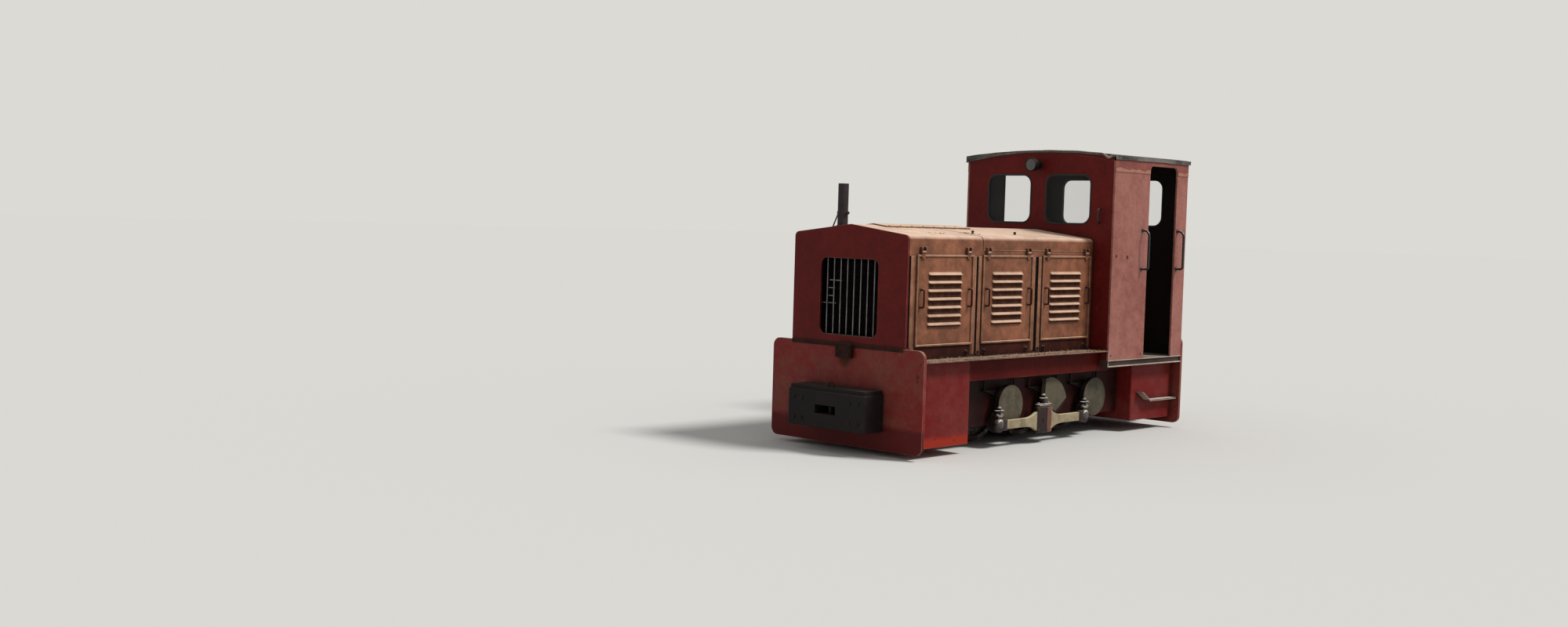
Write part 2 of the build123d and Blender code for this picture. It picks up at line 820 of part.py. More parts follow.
def build_door(name, side, front_x, rear_x, inset_front, inset_rear):
    """Hanging bonnet door: sheet, raised border, pressed louvres, grab handles and hinge knuckles."""
    inner_y = bonnet_half_width + door_seat_gap
    sheet_y = inner_y + door_sheet
    border_y = sheet_y + door_border_depth
    grip_y = sheet_y + handle_reach
    louvre_y = sheet_y + louvre_depth
    with BuildPart() as door:
        add_box(rear_x, front_x, side * inner_y, side * border_y, door_bottom, door_top)
        add_box(
            rear_x + door_border, front_x - door_border, side * sheet_y, side * border_y,
            door_bottom + door_border, door_top - door_border, mode=Mode.SUBTRACT,
        )
        for i in range(louvre_count):
            z = louvre_bottom + i * louvre_pitch
            with BuildSketch(end_plane(rear_x + inset_rear)):
                with BuildLine():
                    Polyline(
                        (side * sheet_y, z), (side * louvre_y, z), (side * louvre_y, z + louvre_lip),
                        (side * sheet_y, z + louvre_height), close=True,
                    )
                make_face()
            extrude(amount=front_x - rear_x - inset_front - inset_rear)
        for x in (rear_x + handle_inset, front_x - handle_inset):
            low_x, high_x = x - handle_bar / 2, x + handle_bar / 2
            low_z, high_z = handle_middle - handle_length / 2, handle_middle + handle_length / 2
            add_box(low_x, high_x, side * sheet_y, side * grip_y, low_z - handle_bar, low_z)
            add_box(low_x, high_x, side * sheet_y, side * grip_y, high_z, high_z + handle_bar)
            add_box(low_x, high_x, side * (grip_y - handle_bar), side * grip_y, low_z, high_z)
        for x in (rear_x + hinge_inset, front_x - hinge_inset):
            add_box(
                x - hinge_width / 2, x + hinge_width / 2, side * (hinge_y - hinge_strap),
                side * (hinge_y + hinge_strap), door_top - hinge_strap_length, hinge_z - hinge_pin_radius,
            )
            with BuildSketch(end_plane(x - hinge_width / 2)):
                with Locations((side * hinge_y, hinge_z)):
                    RegularPolygon(hinge_knuckle_radius, hinge_sides, major_radius=False)
            extrude(amount=hinge_width)
            with BuildSketch(end_plane(x - hinge_width / 2)):
                with Locations((side * hinge_y, hinge_z)):
                    RegularPolygon(hinge_pin_radius + running_clearance, hinge_sides, major_radius=False)
            extrude(amount=hinge_width, mode=Mode.SUBTRACT)
    finish(door, name)


for side_name, side in (("left", 1), ("right", -1)):
    for place, front_x, rear_x, inset_front, inset_rear in doors:
        build_door(f"{side_name}_{place}_bonnet_door", side, front_x, rear_x, inset_front, inset_rear)

with BuildPart() as door_hinge_pegs:
    ear_inner = hinge_width / 2 + hinge_ear_gap
    for side in (-1, 1):
        for _, front_x, rear_x, _, _ in doors:
            for x in (rear_x + hinge_inset, front_x - hinge_inset):
                with BuildSketch(end_plane(x - ear_inner)):
                    with Locations((side * hinge_y, hinge_z)):
                        RegularPolygon(hinge_pin_radius, hinge_sides)
                extrude(amount=2 * ear_inner)
                for ear_x in (x - ear_inner - hinge_ear, x + ear_inner):
                    add_box(
                        ear_x, ear_x + hinge_ear,
                        side * bonnet_half_width, side * (hinge_y + hinge_ear_reach),
                        hinge_z - hinge_ear_reach, hinge_z + hinge_ear_rise,
                    )
finish(door_hinge_pegs, "door_hinge_pegs")

with BuildPart() as exhaust_pipe:
    foot_z = roof_height(abs(exhaust_y) + exhaust_radius)
    with BuildSketch(Plane.XY.offset(foot_z)):
        with Locations((exhaust_x, exhaust_y)):
            Circle(exhaust_radius)
    extrude(amount=exhaust_top - foot_z)
    with BuildSketch(Plane.XY.offset(exhaust_top)):
        with Locations((exhaust_x, exhaust_y)):
            Circle(exhaust_radius - exhaust_wall)
    extrude(amount=-exhaust_bore_depth, mode=Mode.SUBTRACT)
    under_z = bonnet_shoulder - exhaust_radius
    with BuildSketch(end_plane(exhaust_x - 2 * exhaust_radius)):
        with BuildLine():
            Polyline(
                (-bonnet_half_width, bonnet_shoulder), (0, bonnet_ridge), (0, under_z),
                (-bonnet_half_width, under_z), close=True,
            )
        make_face()
    extrude(amount=4 * exhaust_radius, mode=Mode.SUBTRACT)
finish(exhaust_pipe, "exhaust_pipe")


# Cab

roof_reach = cab_half_width + roof_overhang
roof_radius = (roof_reach**2 + cab_roof_rise**2) / (2 * cab_roof_rise)


def cab_roof_under(y):
    """Underside of the arched cab roof at a distance from the centreline."""
    return cab_crown - roof_sheet - roof_radius + (roof_radius**2 - y**2) ** 0.5


with BuildPart() as cab_roof:
    under_eaves, under_crown = cab_eaves - roof_sheet, cab_crown - roof_sheet
    with BuildSketch(end_plane(cab_rear_x - roof_overhang)):
        with BuildLine():
            ThreePointArc((-roof_reach, cab_eaves), (0, cab_crown), (roof_reach, cab_eaves))
            Line((roof_reach, cab_eaves), (roof_reach, under_eaves))
            ThreePointArc((roof_reach, under_eaves), (0, under_crown), (-roof_reach, under_eaves))
            Line((-roof_reach, under_eaves), (-roof_reach, cab_eaves))
        make_face()
    extrude(amount=cab_length + 2 * roof_overhang)
finish(cab_roof, "cab_roof")

window_width = window_outer_y - window_inner_y
window_y = (window_inner_y + window_outer_y) / 2
window_spots = [(way * window_y, window_top - window_height / 2) for way in (-1, 1)]


def build_cab_end(name, x0):
    """End wall between the side walls, with two rounded windows."""
    with BuildPart() as wall:
        with BuildSketch(end_plane(x0)):
            with BuildLine():
                top = cab_roof_under(cab_inner_y)
                Polyline(
                    (-cab_inner_y, top), (-cab_inner_y, cab_bottom),
                    (cab_inner_y, cab_bottom), (cab_inner_y, top),
                )
                ThreePointArc((cab_inner_y, top), (0, cab_roof_under(0)), (-cab_inner_y, top))
            make_face()
            with Locations(*window_spots):
                RectangleRounded(window_width, window_height, window_corner, mode=Mode.SUBTRACT)
        extrude(amount=cab_wall)
    finish(wall, name)


build_cab_end("cab_front_wall", cab_front_x - cab_wall)
build_cab_end("cab_rear_wall", cab_rear_x)

for side_name, side in (("left", 1), ("right", -1)):
    with BuildPart() as cab_side:
        y_in, y_out = side * cab_inner_y, side * cab_half_width
        with BuildSketch(end_plane(cab_rear_x)):
            with BuildLine():
                Polyline(
                    (y_in, cab_roof_under(y_in)), (y_in, cab_bottom), (y_out, cab_bottom),
                    (y_out, cab_roof_under(y_out)), close=True,
                )
            make_face()
        extrude(amount=cab_length)
        with BuildSketch(side_plane(max(y_in, y_out))) as doorway:
            with Locations(((doorway_front_x + doorway_rear_x) / 2, (doorway_top + cab_bottom) / 2)):
                Rectangle(doorway_width, doorway_top - cab_bottom)
            fillet(doorway.vertices().group_by(Axis.Y)[-1], doorway_corner)
        extrude(amount=cab_wall, mode=Mode.SUBTRACT)
    finish(cab_side, f"cab_{side_name}_wall")

with BuildPart() as cab_floor:
    add_box(cab_rear_x, cab_front_x, -cab_half_width, cab_half_width, cab_base_bottom, cab_bottom)
    for side in (-1, 1):
        add_box(
            cab_rear_x + base_flange, cab_front_x - base_flange,
            side * (cab_half_width - base_groove_depth), side * cab_half_width,
            cab_base_bottom + base_flange, cab_bottom - base_flange, mode=Mode.SUBTRACT,
        )
finish(cab_floor, "cab_floor")

with BuildPart() as cab_windows:
    glass_inset = (cab_wall - glass_thickness) / 2
    for x0 in (cab_front_x - cab_wall + glass_inset, cab_rear_x + glass_inset):
        with BuildSketch(end_plane(x0)):
            with Locations(*window_spots):
                RectangleRounded(
                    window_width - 2 * running_clearance, window_height - 2 * running_clearance,
                    window_corner - running_clearance,
                )
        extrude(amount=glass_thickness)
finish(cab_windows, "cab_windows")


# Headlight housing: share of its length, share of its radius
headlight_profile = [(0, 0.55), (0.5, 1), (1, 1)]

with BuildPart() as headlights:
    for x_wall, way in ((cab_front_x, 1), (cab_rear_x, -1)):
        outline = [
            (x_wall + way * headlight_length * along, headlight_height + headlight_radius * across)
            for along, across in headlight_profile
        ]
        with BuildSketch(Plane.XZ):
            with BuildLine():
                end_x = outline[-1][0]
                Polyline((x_wall, headlight_height), *outline, (end_x, headlight_height), close=True)
            make_face()
        revolve(axis=Axis((0, 0, headlight_height), (1, 0, 0)))
finish(headlights, "headlights")

with BuildPart() as cab_handrails:
    rail_bottom = cab_bottom + handrail_height
    rail_top = rail_bottom + handrail_length
    for side in (-1, 1):
        wall_y, rail_y = side * cab_half_width, side * (cab_half_width + handrail_reach)
        for x in (doorway_front_x + handrail_front_inset, doorway_rear_x - handrail_rear_inset):
            with BuildLine() as rail_path:
                Polyline(
                    (x, wall_y, rail_bottom), (x, rail_y, rail_bottom),
                    (x, rail_y, rail_top - handrail_bend),
                    (x, rail_y - side * handrail_bend, rail_top), (x, wall_y, rail_top),
                )
            with BuildSketch(Plane(origin=(x, wall_y, rail_bottom), z_dir=(0, side, 0))):
                RegularPolygon(handrail_radius, handrail_sides)
            sweep(path=rail_path.line, transition=Transition.RIGHT)
finish(cab_handrails, "cab_handrails")

with BuildPart() as cab_steps:
    front_x = rear_box_front_x - step_front_inset
    step_top = [
        (front_x, step_height + step_lift), (front_x - step_slope, step_height),
        (cab_rear_x + step_rear_inset, step_height),
    ]
    for side in (-1, 1):
        with BuildSketch(side_plane(side * box_half_width + (step_depth if side > 0 else 0))):
            with BuildLine():
                Polyline(*step_top, *[(x, z - step_bar) for x, z in reversed(step_top)], close=True)
            make_face()
        extrude(amount=step_depth)
finish(cab_steps, "cab_steps")

with BuildPart() as control_desk:
    desk_front_x = cab_front_x - cab_wall
    desk_mid_x = desk_front_x - desk_depth / 2
    desk_top = cab_bottom + desk_height
    handwheel_y = desk_half_width - handwheel_inset
    desk_rear_x = desk_front_x - desk_depth
    half_stem = handwheel_stem / 2
    add_box(desk_rear_x, desk_front_x, -desk_half_width, desk_half_width, cab_bottom, desk_top)
    add_box(
        desk_mid_x - half_stem, desk_mid_x + half_stem, handwheel_y - half_stem, handwheel_y + half_stem,
        desk_top, desk_top + handwheel_rise,
    )
    with BuildSketch(Plane.XY.offset(desk_top + handwheel_rise)):
        with Locations((desk_mid_x, handwheel_y)):
            RegularPolygon(handwheel_radius, handwheel_sides)
            RegularPolygon(handwheel_radius - handwheel_rim, handwheel_sides, mode=Mode.SUBTRACT)
            Rectangle(2 * handwheel_radius - handwheel_rim, handwheel_rim)
            Rectangle(handwheel_rim, 2 * handwheel_radius - handwheel_rim)
    extrude(amount=handwheel_rim)
finish(control_desk, "control_desk")

with BuildPart() as driver_seat:
    seat_x = cab_rear_x + cab_wall + seat_setback
    seat_top = cab_bottom + seat_height + seat_cushion
    back_x = seat_x - seat_length / 2
    with Locations((seat_x, seat_offset, cab_bottom + seat_height / 2)):
        Box(seat_post, seat_post, seat_height)
    with Locations((seat_x, seat_offset, cab_bottom + seat_height + seat_cushion / 2)):
        Box(seat_length, seat_width, seat_cushion)
    with Locations((back_x, seat_offset, seat_top + seat_back_height / 2)):
        Box(seat_back_thickness, seat_back_width, seat_back_height)
finish(driver_seat, "driver_seat")
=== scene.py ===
# %% [markdown]
# # A narrow-gauge works locomotive
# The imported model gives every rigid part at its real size. This notebook dresses it: each part gets
# a finish worked out from what the real surface is, and the thin, pressed, turned and bent pieces
# that a plain solid can't show are modelled here and hung on the same moving bodies.
# Everything is in metres, +X towards the bonnet, +Y towards the left side, +Z up.

import math
import random
from functools import partial

import bmesh
import bpy
from mathutils import Matrix, Quaternion, Vector, noise


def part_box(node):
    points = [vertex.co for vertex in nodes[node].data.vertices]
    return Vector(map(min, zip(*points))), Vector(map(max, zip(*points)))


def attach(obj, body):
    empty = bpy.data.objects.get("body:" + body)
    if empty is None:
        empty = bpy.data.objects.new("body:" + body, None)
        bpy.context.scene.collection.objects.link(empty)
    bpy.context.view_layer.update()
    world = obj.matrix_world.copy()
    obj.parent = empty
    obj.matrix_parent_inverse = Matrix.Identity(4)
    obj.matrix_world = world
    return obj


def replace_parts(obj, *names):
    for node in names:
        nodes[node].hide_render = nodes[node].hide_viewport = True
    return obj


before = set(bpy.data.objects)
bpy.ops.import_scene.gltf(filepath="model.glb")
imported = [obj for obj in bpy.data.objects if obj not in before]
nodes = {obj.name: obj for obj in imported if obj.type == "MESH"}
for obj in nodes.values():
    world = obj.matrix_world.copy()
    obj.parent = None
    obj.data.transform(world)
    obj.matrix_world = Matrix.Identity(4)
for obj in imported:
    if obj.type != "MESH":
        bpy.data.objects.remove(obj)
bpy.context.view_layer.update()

# %% [markdown]
# ## Small helpers
# A colour is written the way a paint shop reads it, as an sRGB hex value, and Blender wants light in
# linear amounts, so one function turns one into the other. Another adds a shader node with its
# settings and links in one line, which keeps each material readable as a recipe. A link comes from a
# named output, or from a node's first one where the recipe names only the node.

# %% Colour, pattern scale and shader nodes
def linear(hex_colour):
    """sRGB hex to linear RGBA."""
    channels = [int(hex_colour[i:i + 2], 16) / 255 for i in (1, 3, 5)]
    return (*[c / 12.92 if c <= 0.04045 else ((c + 0.055) / 1.055) ** 2.4 for c in channels], 1.0)


def per_metre(millimetres):
    """Texture scale whose features are about this many millimetres apart."""
    return 1000 / millimetres


def link(node, sources):
    """Link a node's inputs, each to a socket or to the first output of another node."""
    for name, source in sources.items():
        node.id_data.links.new(getattr(source, "outputs", [source])[0], node.inputs[name])


def add_node(tree, kind, settings=None, links=None):
    """Add a shader node, set its sockets or options by name, and link its inputs."""
    node = tree.nodes.new("ShaderNode" + kind)
    for name, value in (settings or {}).items():
        if isinstance(name, int) or name in node.inputs:
            node.inputs[name].default_value = value
        else:
            setattr(node, name, value)
    link(node, links or {})
    return node


def new_material(name, settings):
    """A material with its surface shader, the adder of its nodes, and each point's place on the object."""
    material = bpy.data.materials.new(name)
    material.use_nodes = True
    material.node_tree.nodes.clear()
    add = partial(add_node, material.node_tree)
    surface = add("BsdfPrincipled", settings)
    add("OutputMaterial", {}, {"Surface": surface})
    return material, add, surface, add("TexCoord").outputs["Object"]


# %% [markdown]
# ## Weathered paint on steel plate
# Almost everything here is brushed enamel on rolled steel plate that has stood outdoors for years.
# The eye reads it by layers, and the recipe stacks them in order: the coat, the bleaching by the sun,
# rain streaks, rust that breaks through, chips along the edges, soot with painted shade in the corners,
# and dust on what faces up, which is also painted highlight on tops. Each layer is a mask from noise at
# a real scale, mixed over the one below. Masks stay soft and low in contrast, because old paint changes
# slowly over a panel.

# %% Recipe for weathered paint
RUST_DARK = linear("#2b1713")
RUST_LIGHT = linear("#653722")
SOOT_AND_SHADE = linear("#1c1310")
RAIN_STAIN = linear("#6d5548")
CAB_MIDDLE = sum(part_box("cab_floor"), Vector()) / 2
CAB_HALF_INSIDE = (0.6175, 0.8305)


def weathered_paint(name, coat, faded, dust_and_highlight_colour, fade, rust, dust_and_highlight, chips, streaks, roughness, chip_colour,
                    soot, gloss, waves=0.0012, lower_band=None, inside_shade=None, stains=()):
    """Enamel on steel. The amounts of fade, rust, dust with painted highlight, chips, streaks and soot with
    painted shade go from 0, none, to 1, all over.
    """
    material, add, surface, place = new_material(name, {"Specular IOR Level": gloss})
    facing = add("NewGeometry").outputs["Normal"]
    here = {"Vector": place}
    tone = add("TexNoise", {"Scale": per_metre(650), "Detail": 3.0}, here)
    mottle = add("TexNoise", {"Scale": per_metre(110), "Detail": 8.0, "Roughness": 0.6}, here)
    scabs = add("TexNoise", {"Scale": per_metre(230), "Detail": 12.0, "Roughness": 0.68}, here)
    specks = add("TexNoise", {"Scale": per_metre(30), "Detail": 5.0}, here)
    grit = add("TexNoise", {"Scale": per_metre(6), "Detail": 2.0}, here)
    tall = add("Mapping", {"Scale": (1.0, 1.0, 0.09)}, here)
    rain = add("TexNoise", {"Scale": per_metre(75), "Detail": 5.0, "Roughness": 0.55, "Distortion": 0.4},
               {"Vector": tall})
    axes = add("SeparateXYZ", {}, {0: place})

    # The coat, bleached in places, with a slight change of lightness.
    blend = add("Math", {"operation": "ADD"}, {0: tone, 1: mottle})
    bleached = add("MapRange", {"From Min": 1.05 - 0.45 * fade, "From Max": 1.4 - 0.45 * fade},
                   {"Value": blend})
    layer = add("Mix", {"data_type": "RGBA", 6: linear(coat), 7: linear(faded)}, {0: bleached}).outputs[2]
    lightness = add("MapRange", {"From Min": 0.3, "From Max": 0.7, "To Min": 0.88, "To Max": 1.12},
                    {"Value": specks})
    layer = add("HueSaturation", {}, {"Value": lightness, "Color": layer})
    covers = []

    # Below a height and towards the front the colour changes along a ragged line: on the ballast boxes a
    # painted band of sunlight, on the end plate only darker towards the bottom.
    if lower_band:
        height, lower_band_colour = lower_band
        ragged = add("Math", {"operation": "MULTIPLY_ADD", 1: -0.05}, {0: mottle, 2: axes.outputs["Z"]})
        under = add("MapRange", {"From Min": height, "From Max": height - 0.045}, {"Value": ragged})
        ahead = add("MapRange", {"From Min": 0.2, "From Max": 1.0}, {"Value": axes.outputs["X"]})
        lower_band_mask = add("Math", {"operation": "MULTIPLY"}, {0: under, 1: ahead})
        covers.append((lower_band_mask, linear(lower_band_colour), "MIX"))

    # Rain streaks, tall and narrow, only where the slow noise is high.
    wet_part = add("MapRange", {"From Min": 0.42, "From Max": 0.62, "To Max": streaks}, {"Value": tone})
    streak = add("MapRange", {"From Min": 0.5, "From Max": 0.78}, {"Value": rain})
    covers.append((add("Math", {"operation": "MULTIPLY"}, {0: streak, 1: wet_part}), RAIN_STAIN, "MULTIPLY"))

    # Rust as scabs, as specks and as stains at known places.
    scab = add("MapRange", {"From Min": 0.71 - 0.2 * rust, "From Max": 0.76 - 0.17 * rust}, {"Value": scabs})
    spot = add("MapRange", {"From Min": 0.71 - 0.08 * rust, "From Max": 0.75 - 0.08 * rust},
               {"Value": specks})
    rusted = add("Math", {"operation": "MAXIMUM"}, {0: scab, 1: spot})
    for centre, radius in stains:
        away = add("VectorMath", {"operation": "DISTANCE", 1: centre}, {0: place}).outputs["Value"]
        ragged = add("Math", {"operation": "MULTIPLY_ADD", 1: radius * 1.6}, {0: mottle, 2: away})
        stain = add("MapRange", {"From Min": radius * 1.9, "From Max": radius * 1.3}, {"Value": ragged})
        rusted = add("Math", {"operation": "MAXIMUM"}, {0: rusted, 1: stain})
    rust_tint = add("Mix", {"data_type": "RGBA", 6: RUST_DARK, 7: RUST_LIGHT}, {0: grit})
    covers.append((rusted, rust_tint.outputs[2], "MIX"))

    # Chips, where a bevel shader turns the normal away from the face.
    rounded = add("Bevel", {"samples": 4, "Radius": 0.004})
    turned = add("VectorMath", {"operation": "DISTANCE"}, {0: rounded, 1: facing}).outputs["Value"]
    broken = add("Math", {"operation": "MULTIPLY"}, {0: turned, 1: mottle})
    chipped = add("MapRange", {"From Min": 0.3 - 0.24 * chips, "From Max": 0.4 - 0.24 * chips},
                  {"Value": broken})
    chip_tint = add("Mix", {"data_type": "RGBA", 6: RUST_LIGHT, 7: linear(chip_colour)}, {0: mottle})
    covers.append((chipped, chip_tint.outputs[2], "MIX"))

    # The inner faces of the cab are near-black: painted shade for the unlit inside.
    if inside_shade:
        offset = add("VectorMath", {"operation": "SUBTRACT", 1: CAB_MIDDLE}, {0: place})
        reach = add("SeparateXYZ", {}, {0: add("VectorMath", {"operation": "ABSOLUTE"}, {0: offset})})
        within = [add("Math", {"operation": "LESS_THAN", 1: half}, {0: reach.outputs[axis]})
                  for half, axis in zip(CAB_HALF_INSIDE, "XY")]
        indoor_shade_mask = add("Math", {"operation": "MULTIPLY"}, {0: within[0], 1: within[1]})
        covers.append((indoor_shade_mask, linear(inside_shade), "MIX"))

    # Soot and painted shade in the corners, then dust on what faces up, which is also painted highlight.
    corners = add("AmbientOcclusion", {"samples": 4, "Distance": 0.05}).outputs["AO"]
    soot_and_shade_mask = add("MapRange", {"From Min": 0.9, "From Max": 0.4, "To Max": soot}, {"Value": corners})
    covers.append((soot_and_shade_mask, SOOT_AND_SHADE, "MIX"))
    up = add("SeparateXYZ", {}, {0: facing}).outputs["Z"]
    upward = add("MapRange", {"From Min": 0.2, "From Max": 0.9, "To Max": dust_and_highlight}, {"Value": up})
    dust_and_highlight_mask = add("Math", {"operation": "MULTIPLY"}, {0: upward, 1: blend})
    covers.append((dust_and_highlight_mask, linear(dust_and_highlight_colour), "MIX"))

    # Each cover goes over the layer below, as one colour or as another node's colour.
    for mask, colour, way in covers:
        mix = add("Mix", {"data_type": "RGBA", "blend_type": way}, {0: mask, 6: layer})
        if isinstance(colour, tuple):
            mix.inputs[7].default_value = colour
        else:
            link(mix, {7: colour})
        layer = mix.outputs[2]
    sheen = add("MapRange", {"To Min": roughness - 0.1, "To Max": roughness + 0.15}, {"Value": mottle})
    dull = add("Math", {"operation": "MULTIPLY_ADD", 1: 0.3, "use_clamp": True}, {0: rusted, 2: sheen})
    wavy = add("Bump", {"Strength": 1.0, "Distance": waves}, {"Height": tone})
    texture = add("Bump", {"Strength": 0.5, "Distance": 0.0004}, {"Height": scabs, "Normal": wavy})
    grain = add("Bump", {"Strength": 0.25, "Distance": 0.0003}, {"Height": grit, "Normal": texture})
    link(surface, {"Base Color": layer, "Roughness": dull, "Normal": grain})
    return material


# %% [markdown]
# ## The paints
# The same red went on everything. Where the sun reaches it, it has faded to salmon; in the shade of
# the running boards it is still strong, and there the valance and side frames take darker copies of the
# red as painted shade. A band of sunlight is painted along the foot of the front ballast box, and the
# cab's inside is painted shade. The bonnet's side and doors have lost most of theirs to a film of rust,
# so they read as brown, and every rim and hood that faces up has gone the tan of dry dust, which is also
# painted highlight. The rods are cream and the counterweights grey, both oily. A few rust spots sit
# where the real ones do.

# %% Paint finishes
# Near-black for the inner faces of the cab: painted shade.
CAB_INSIDE_SHADE = "#1d1412"
PAINTS = {
    # finish: (slot, what it is, coat, faded coat, colour of dust and painted highlight,
    #          fade, rust, dust and painted highlight on what faces up, chips, streaks, roughness,
    #          colour under a chip, soot and painted shade in corners, gloss)
    # Sheets in the open: pale, dry and dull. The front is in the shade and keeps a deep red.
    "cab_red": ("cab_paint", "sun bleached red enamel", "#7e483f", "#935e53", "#b3988a",
                0.6, 0.05, 0.35, 0.35, 0.3, 0.5, "#b39a86", 0.7, 0.22),
    "band_red": ("cab_paint", "patched red enamel", "#6d3a33", "#874a3f", "#b39a8a",
                 0.5, 0.1, 0.4, 0.5, 0.2, 0.55, "#c9a48e", 0.7, 0.22),
    "peeled_cream": ("cab_paint", "peeled primer", "#96604f", "#a97766", "#c9b29c",
                     0.5, 0.35, 0.3, 0.5, 0.2, 0.7, "#b39a86", 0.7, 0.22),
    "front_red": ("cab_paint", "brick red enamel", "#551412", "#611916", "#94705f",
                  0.5, 0.03, 0.3, 0.5, 0.15, 0.42, "#a58678", 0.7, 0.1),
    # The frame's paint: thick, chipped along its edges, with little shine.
    "plate_red": ("frame_paint", "dusty plate enamel", "#731f1d", "#73382f", "#a08874",
                  0.5, 0.06, 0.5, 0.8, 0.2, 0.5, "#cbb09f", 0.7, 0.15),
    "frame_red": ("frame_paint", "frame red enamel", "#631413", "#692925", "#a08874",
                  0.5, 0.06, 0.5, 0.5, 0.2, 0.5, "#c0aa9c", 0.7, 0.1),
    # These two are darker copies of the frame red: painted shade on the valance under the running boards and
    # on the side frames round the wheels.
    "valance_red": ("frame_paint", "shaded valance enamel", "#440c0a", "#511410", "#a08874",
                    0.4, 0.06, 0.5, 0.4, 0.2, 0.5, "#a58a7c", 0.7, 0.05),
    "shade_red": ("frame_paint", "oily frame enamel", "#1e0908", "#360f0c", "#3a2c24",
                  0.45, 0.15, 0.3, 0.2, 0.4, 0.6, "#46291f", 0.7, 0.15),
    # The bonnet and the boards: a film of rust under dry dust.
    # Its pale dust on what faces up is also painted highlight on the roof's shoulders and tops.
    "bonnet_brown": ("bonnet_paint", "rusted bonnet enamel", "#673f2b", "#8b573e", "#dcbda5",
                     0.5, 0.2, 0.85, 0.7, 0.3, 0.6, "#c9a98c", 0.7, 0.22),
    "worn_tan": ("bonnet_paint", "worn tan enamel", "#704832", "#8f6249", "#d0b096",
                 0.6, 0.15, 0.9, 0.7, 0.1, 0.62, "#cdb095", 0.6, 0.22),
    "sill_brown": ("bonnet_paint", "shaded sill enamel", "#2a100c", "#3f1c14", "#8c705a",
                   0.5, 0.3, 0.5, 0.4, 0.3, 0.65, "#b39a86", 0.7, 0.08),
    "base_brown": ("bonnet_paint", "grimy base enamel", "#2c1e19", "#46312a", "#a8988a",
                   0.5, 0.3, 0.6, 0.6, 0.3, 0.65, "#a09084", 0.7, 0.22),
    "board_brown": ("bonnet_paint", "dusty board enamel", "#4c2c24", "#6b4a3d", "#9c8271",
                    0.5, 0.3, 0.75, 0.8, 0.1, 0.8, "#b9a490", 0.4, 0.22),
    # On the roof's front rim this light grey is painted highlight; on the steps and the base edges it is
    # rubbed paint.
    "lip_grey": ("bonnet_paint", "rubbed lip enamel", "#7a6a5f", "#a3968a", "#c9beb0",
                 0.6, 0.3, 0.9, 0.8, 0.1, 0.6, "#cfc5b8", 0.4, 0.22),
    # The running gear: oil darkens it, what rubs is bright, and what faces up is lighter with dust and
    # painted highlight.
    "rod_cream": ("cream_paint", "oily cream enamel", "#70624a", "#94866a", "#c9bb98",
                  0.6, 0.3, 0.8, 0.6, 0.4, 0.45, "#5f4430", 0.7, 0.22),
    "weight_grey": ("grey_paint", "oily grey enamel", "#2c271d", "#504a3a", "#8c8272",
                    0.6, 0.6, 0.2, 0.9, 0.6, 0.6, "#6a4430", 0.7, 0.22),
    "bearing_iron": ("black_iron", "painted bearing iron", "#130e0f", "#271a18", "#6b5a48",
                     0.5, 0.2, 0.6, 0.5, 0.3, 0.4, "#7a6a5a", 0.7, 0.25),
    # Reddish for the rear facet of the middle bearing: painted sunlight on flaking red enamel.
    "bearing_red": ("black_iron", "flaking bearing enamel", "#4a1d16", "#6b4030", "#a08c78",
                    0.5, 0.4, 0.5, 0.8, 0.3, 0.5, "#b7a796", 0.7, 0.22),
    # Its near-white dust on what faces up is painted highlight on the tops of the straps, discs and balls.
    "strap_steel": ("wheel_steel", "greasy strap steel", "#231d1c", "#4a433e", "#efe8dc",
                    0.5, 0.2, 1.0, 0.8, 0.1, 0.35, "#b9aea0", 0.5, 0.5),
    # Blackened irons, from gloss enamel to burnt and rusty.
    "rail_black": ("black_iron", "gloss black enamel", "#100d10", "#161215", "#b5aba4",
                   0.4, 0.05, 0.55, 0.2, 0.1, 0.28, "#b39a86", 0.7, 0.5),
    "black_iron": ("black_iron", "oily black iron", "#110c0b", "#1e1512", "#3a3028",
                   0.5, 0.25, 0.4, 0.25, 0.3, 0.55, "#4a3a30", 0.7, 0.15),
    "rust_iron": ("black_iron", "rusty bracket iron", "#241613", "#3a221a", "#5e4636",
                  0.5, 0.7, 0.5, 0.4, 0.3, 0.8, "#5c4032", 0.7, 0.1),
    "exhaust_black": ("black_iron", "burnt exhaust steel", "#221c1e", "#332c2f", "#5a4e46",
                      0.5, 0.3, 0.3, 0.3, 0.3, 0.7, "#5c4a40", 0.7, 0.22),
    "coupler_iron": ("black_iron", "worn coupler iron", "#110d0f", "#1d1618", "#3d342e",
                     0.5, 0.12, 0.5, 0.35, 0.2, 0.6, "#5d544c", 0.7, 0.15),
    # The roof's tarry coating, its rubbed edge, the grille and the desk.
    "roof_black": ("roof_paint", "black roof coating", "#1a1516", "#3a3435", "#57504a",
                   0.5, 0.05, 0.6, 0.8, 0.2, 0.75, "#c5beb4", 0.7, 0.22),
    "roof_edge_grey": ("roof_paint", "rubbed roof edge", "#2a2728", "#6a6662", "#8c867e",
                       0.55, 0.1, 0.6, 0.9, 0.1, 0.6, "#cdc6bb", 0.7, 0.15),
    "grille_grey": ("wheel_steel", "rubbed grille steel", "#6a6465", "#8d8785", "#8a7f76",
                    0.5, 0.2, 0.3, 0.3, 0.2, 0.5, "#b39a86", 0.7, 0.22),
    "desk_grey": ("desk_paint", "grey desk enamel", "#3a3f3e", "#4d5350", "#6a6459",
                  0.5, 0.08, 0.4, 0.4, 0.2, 0.45, "#b39a86", 0.7, 0.22),
}
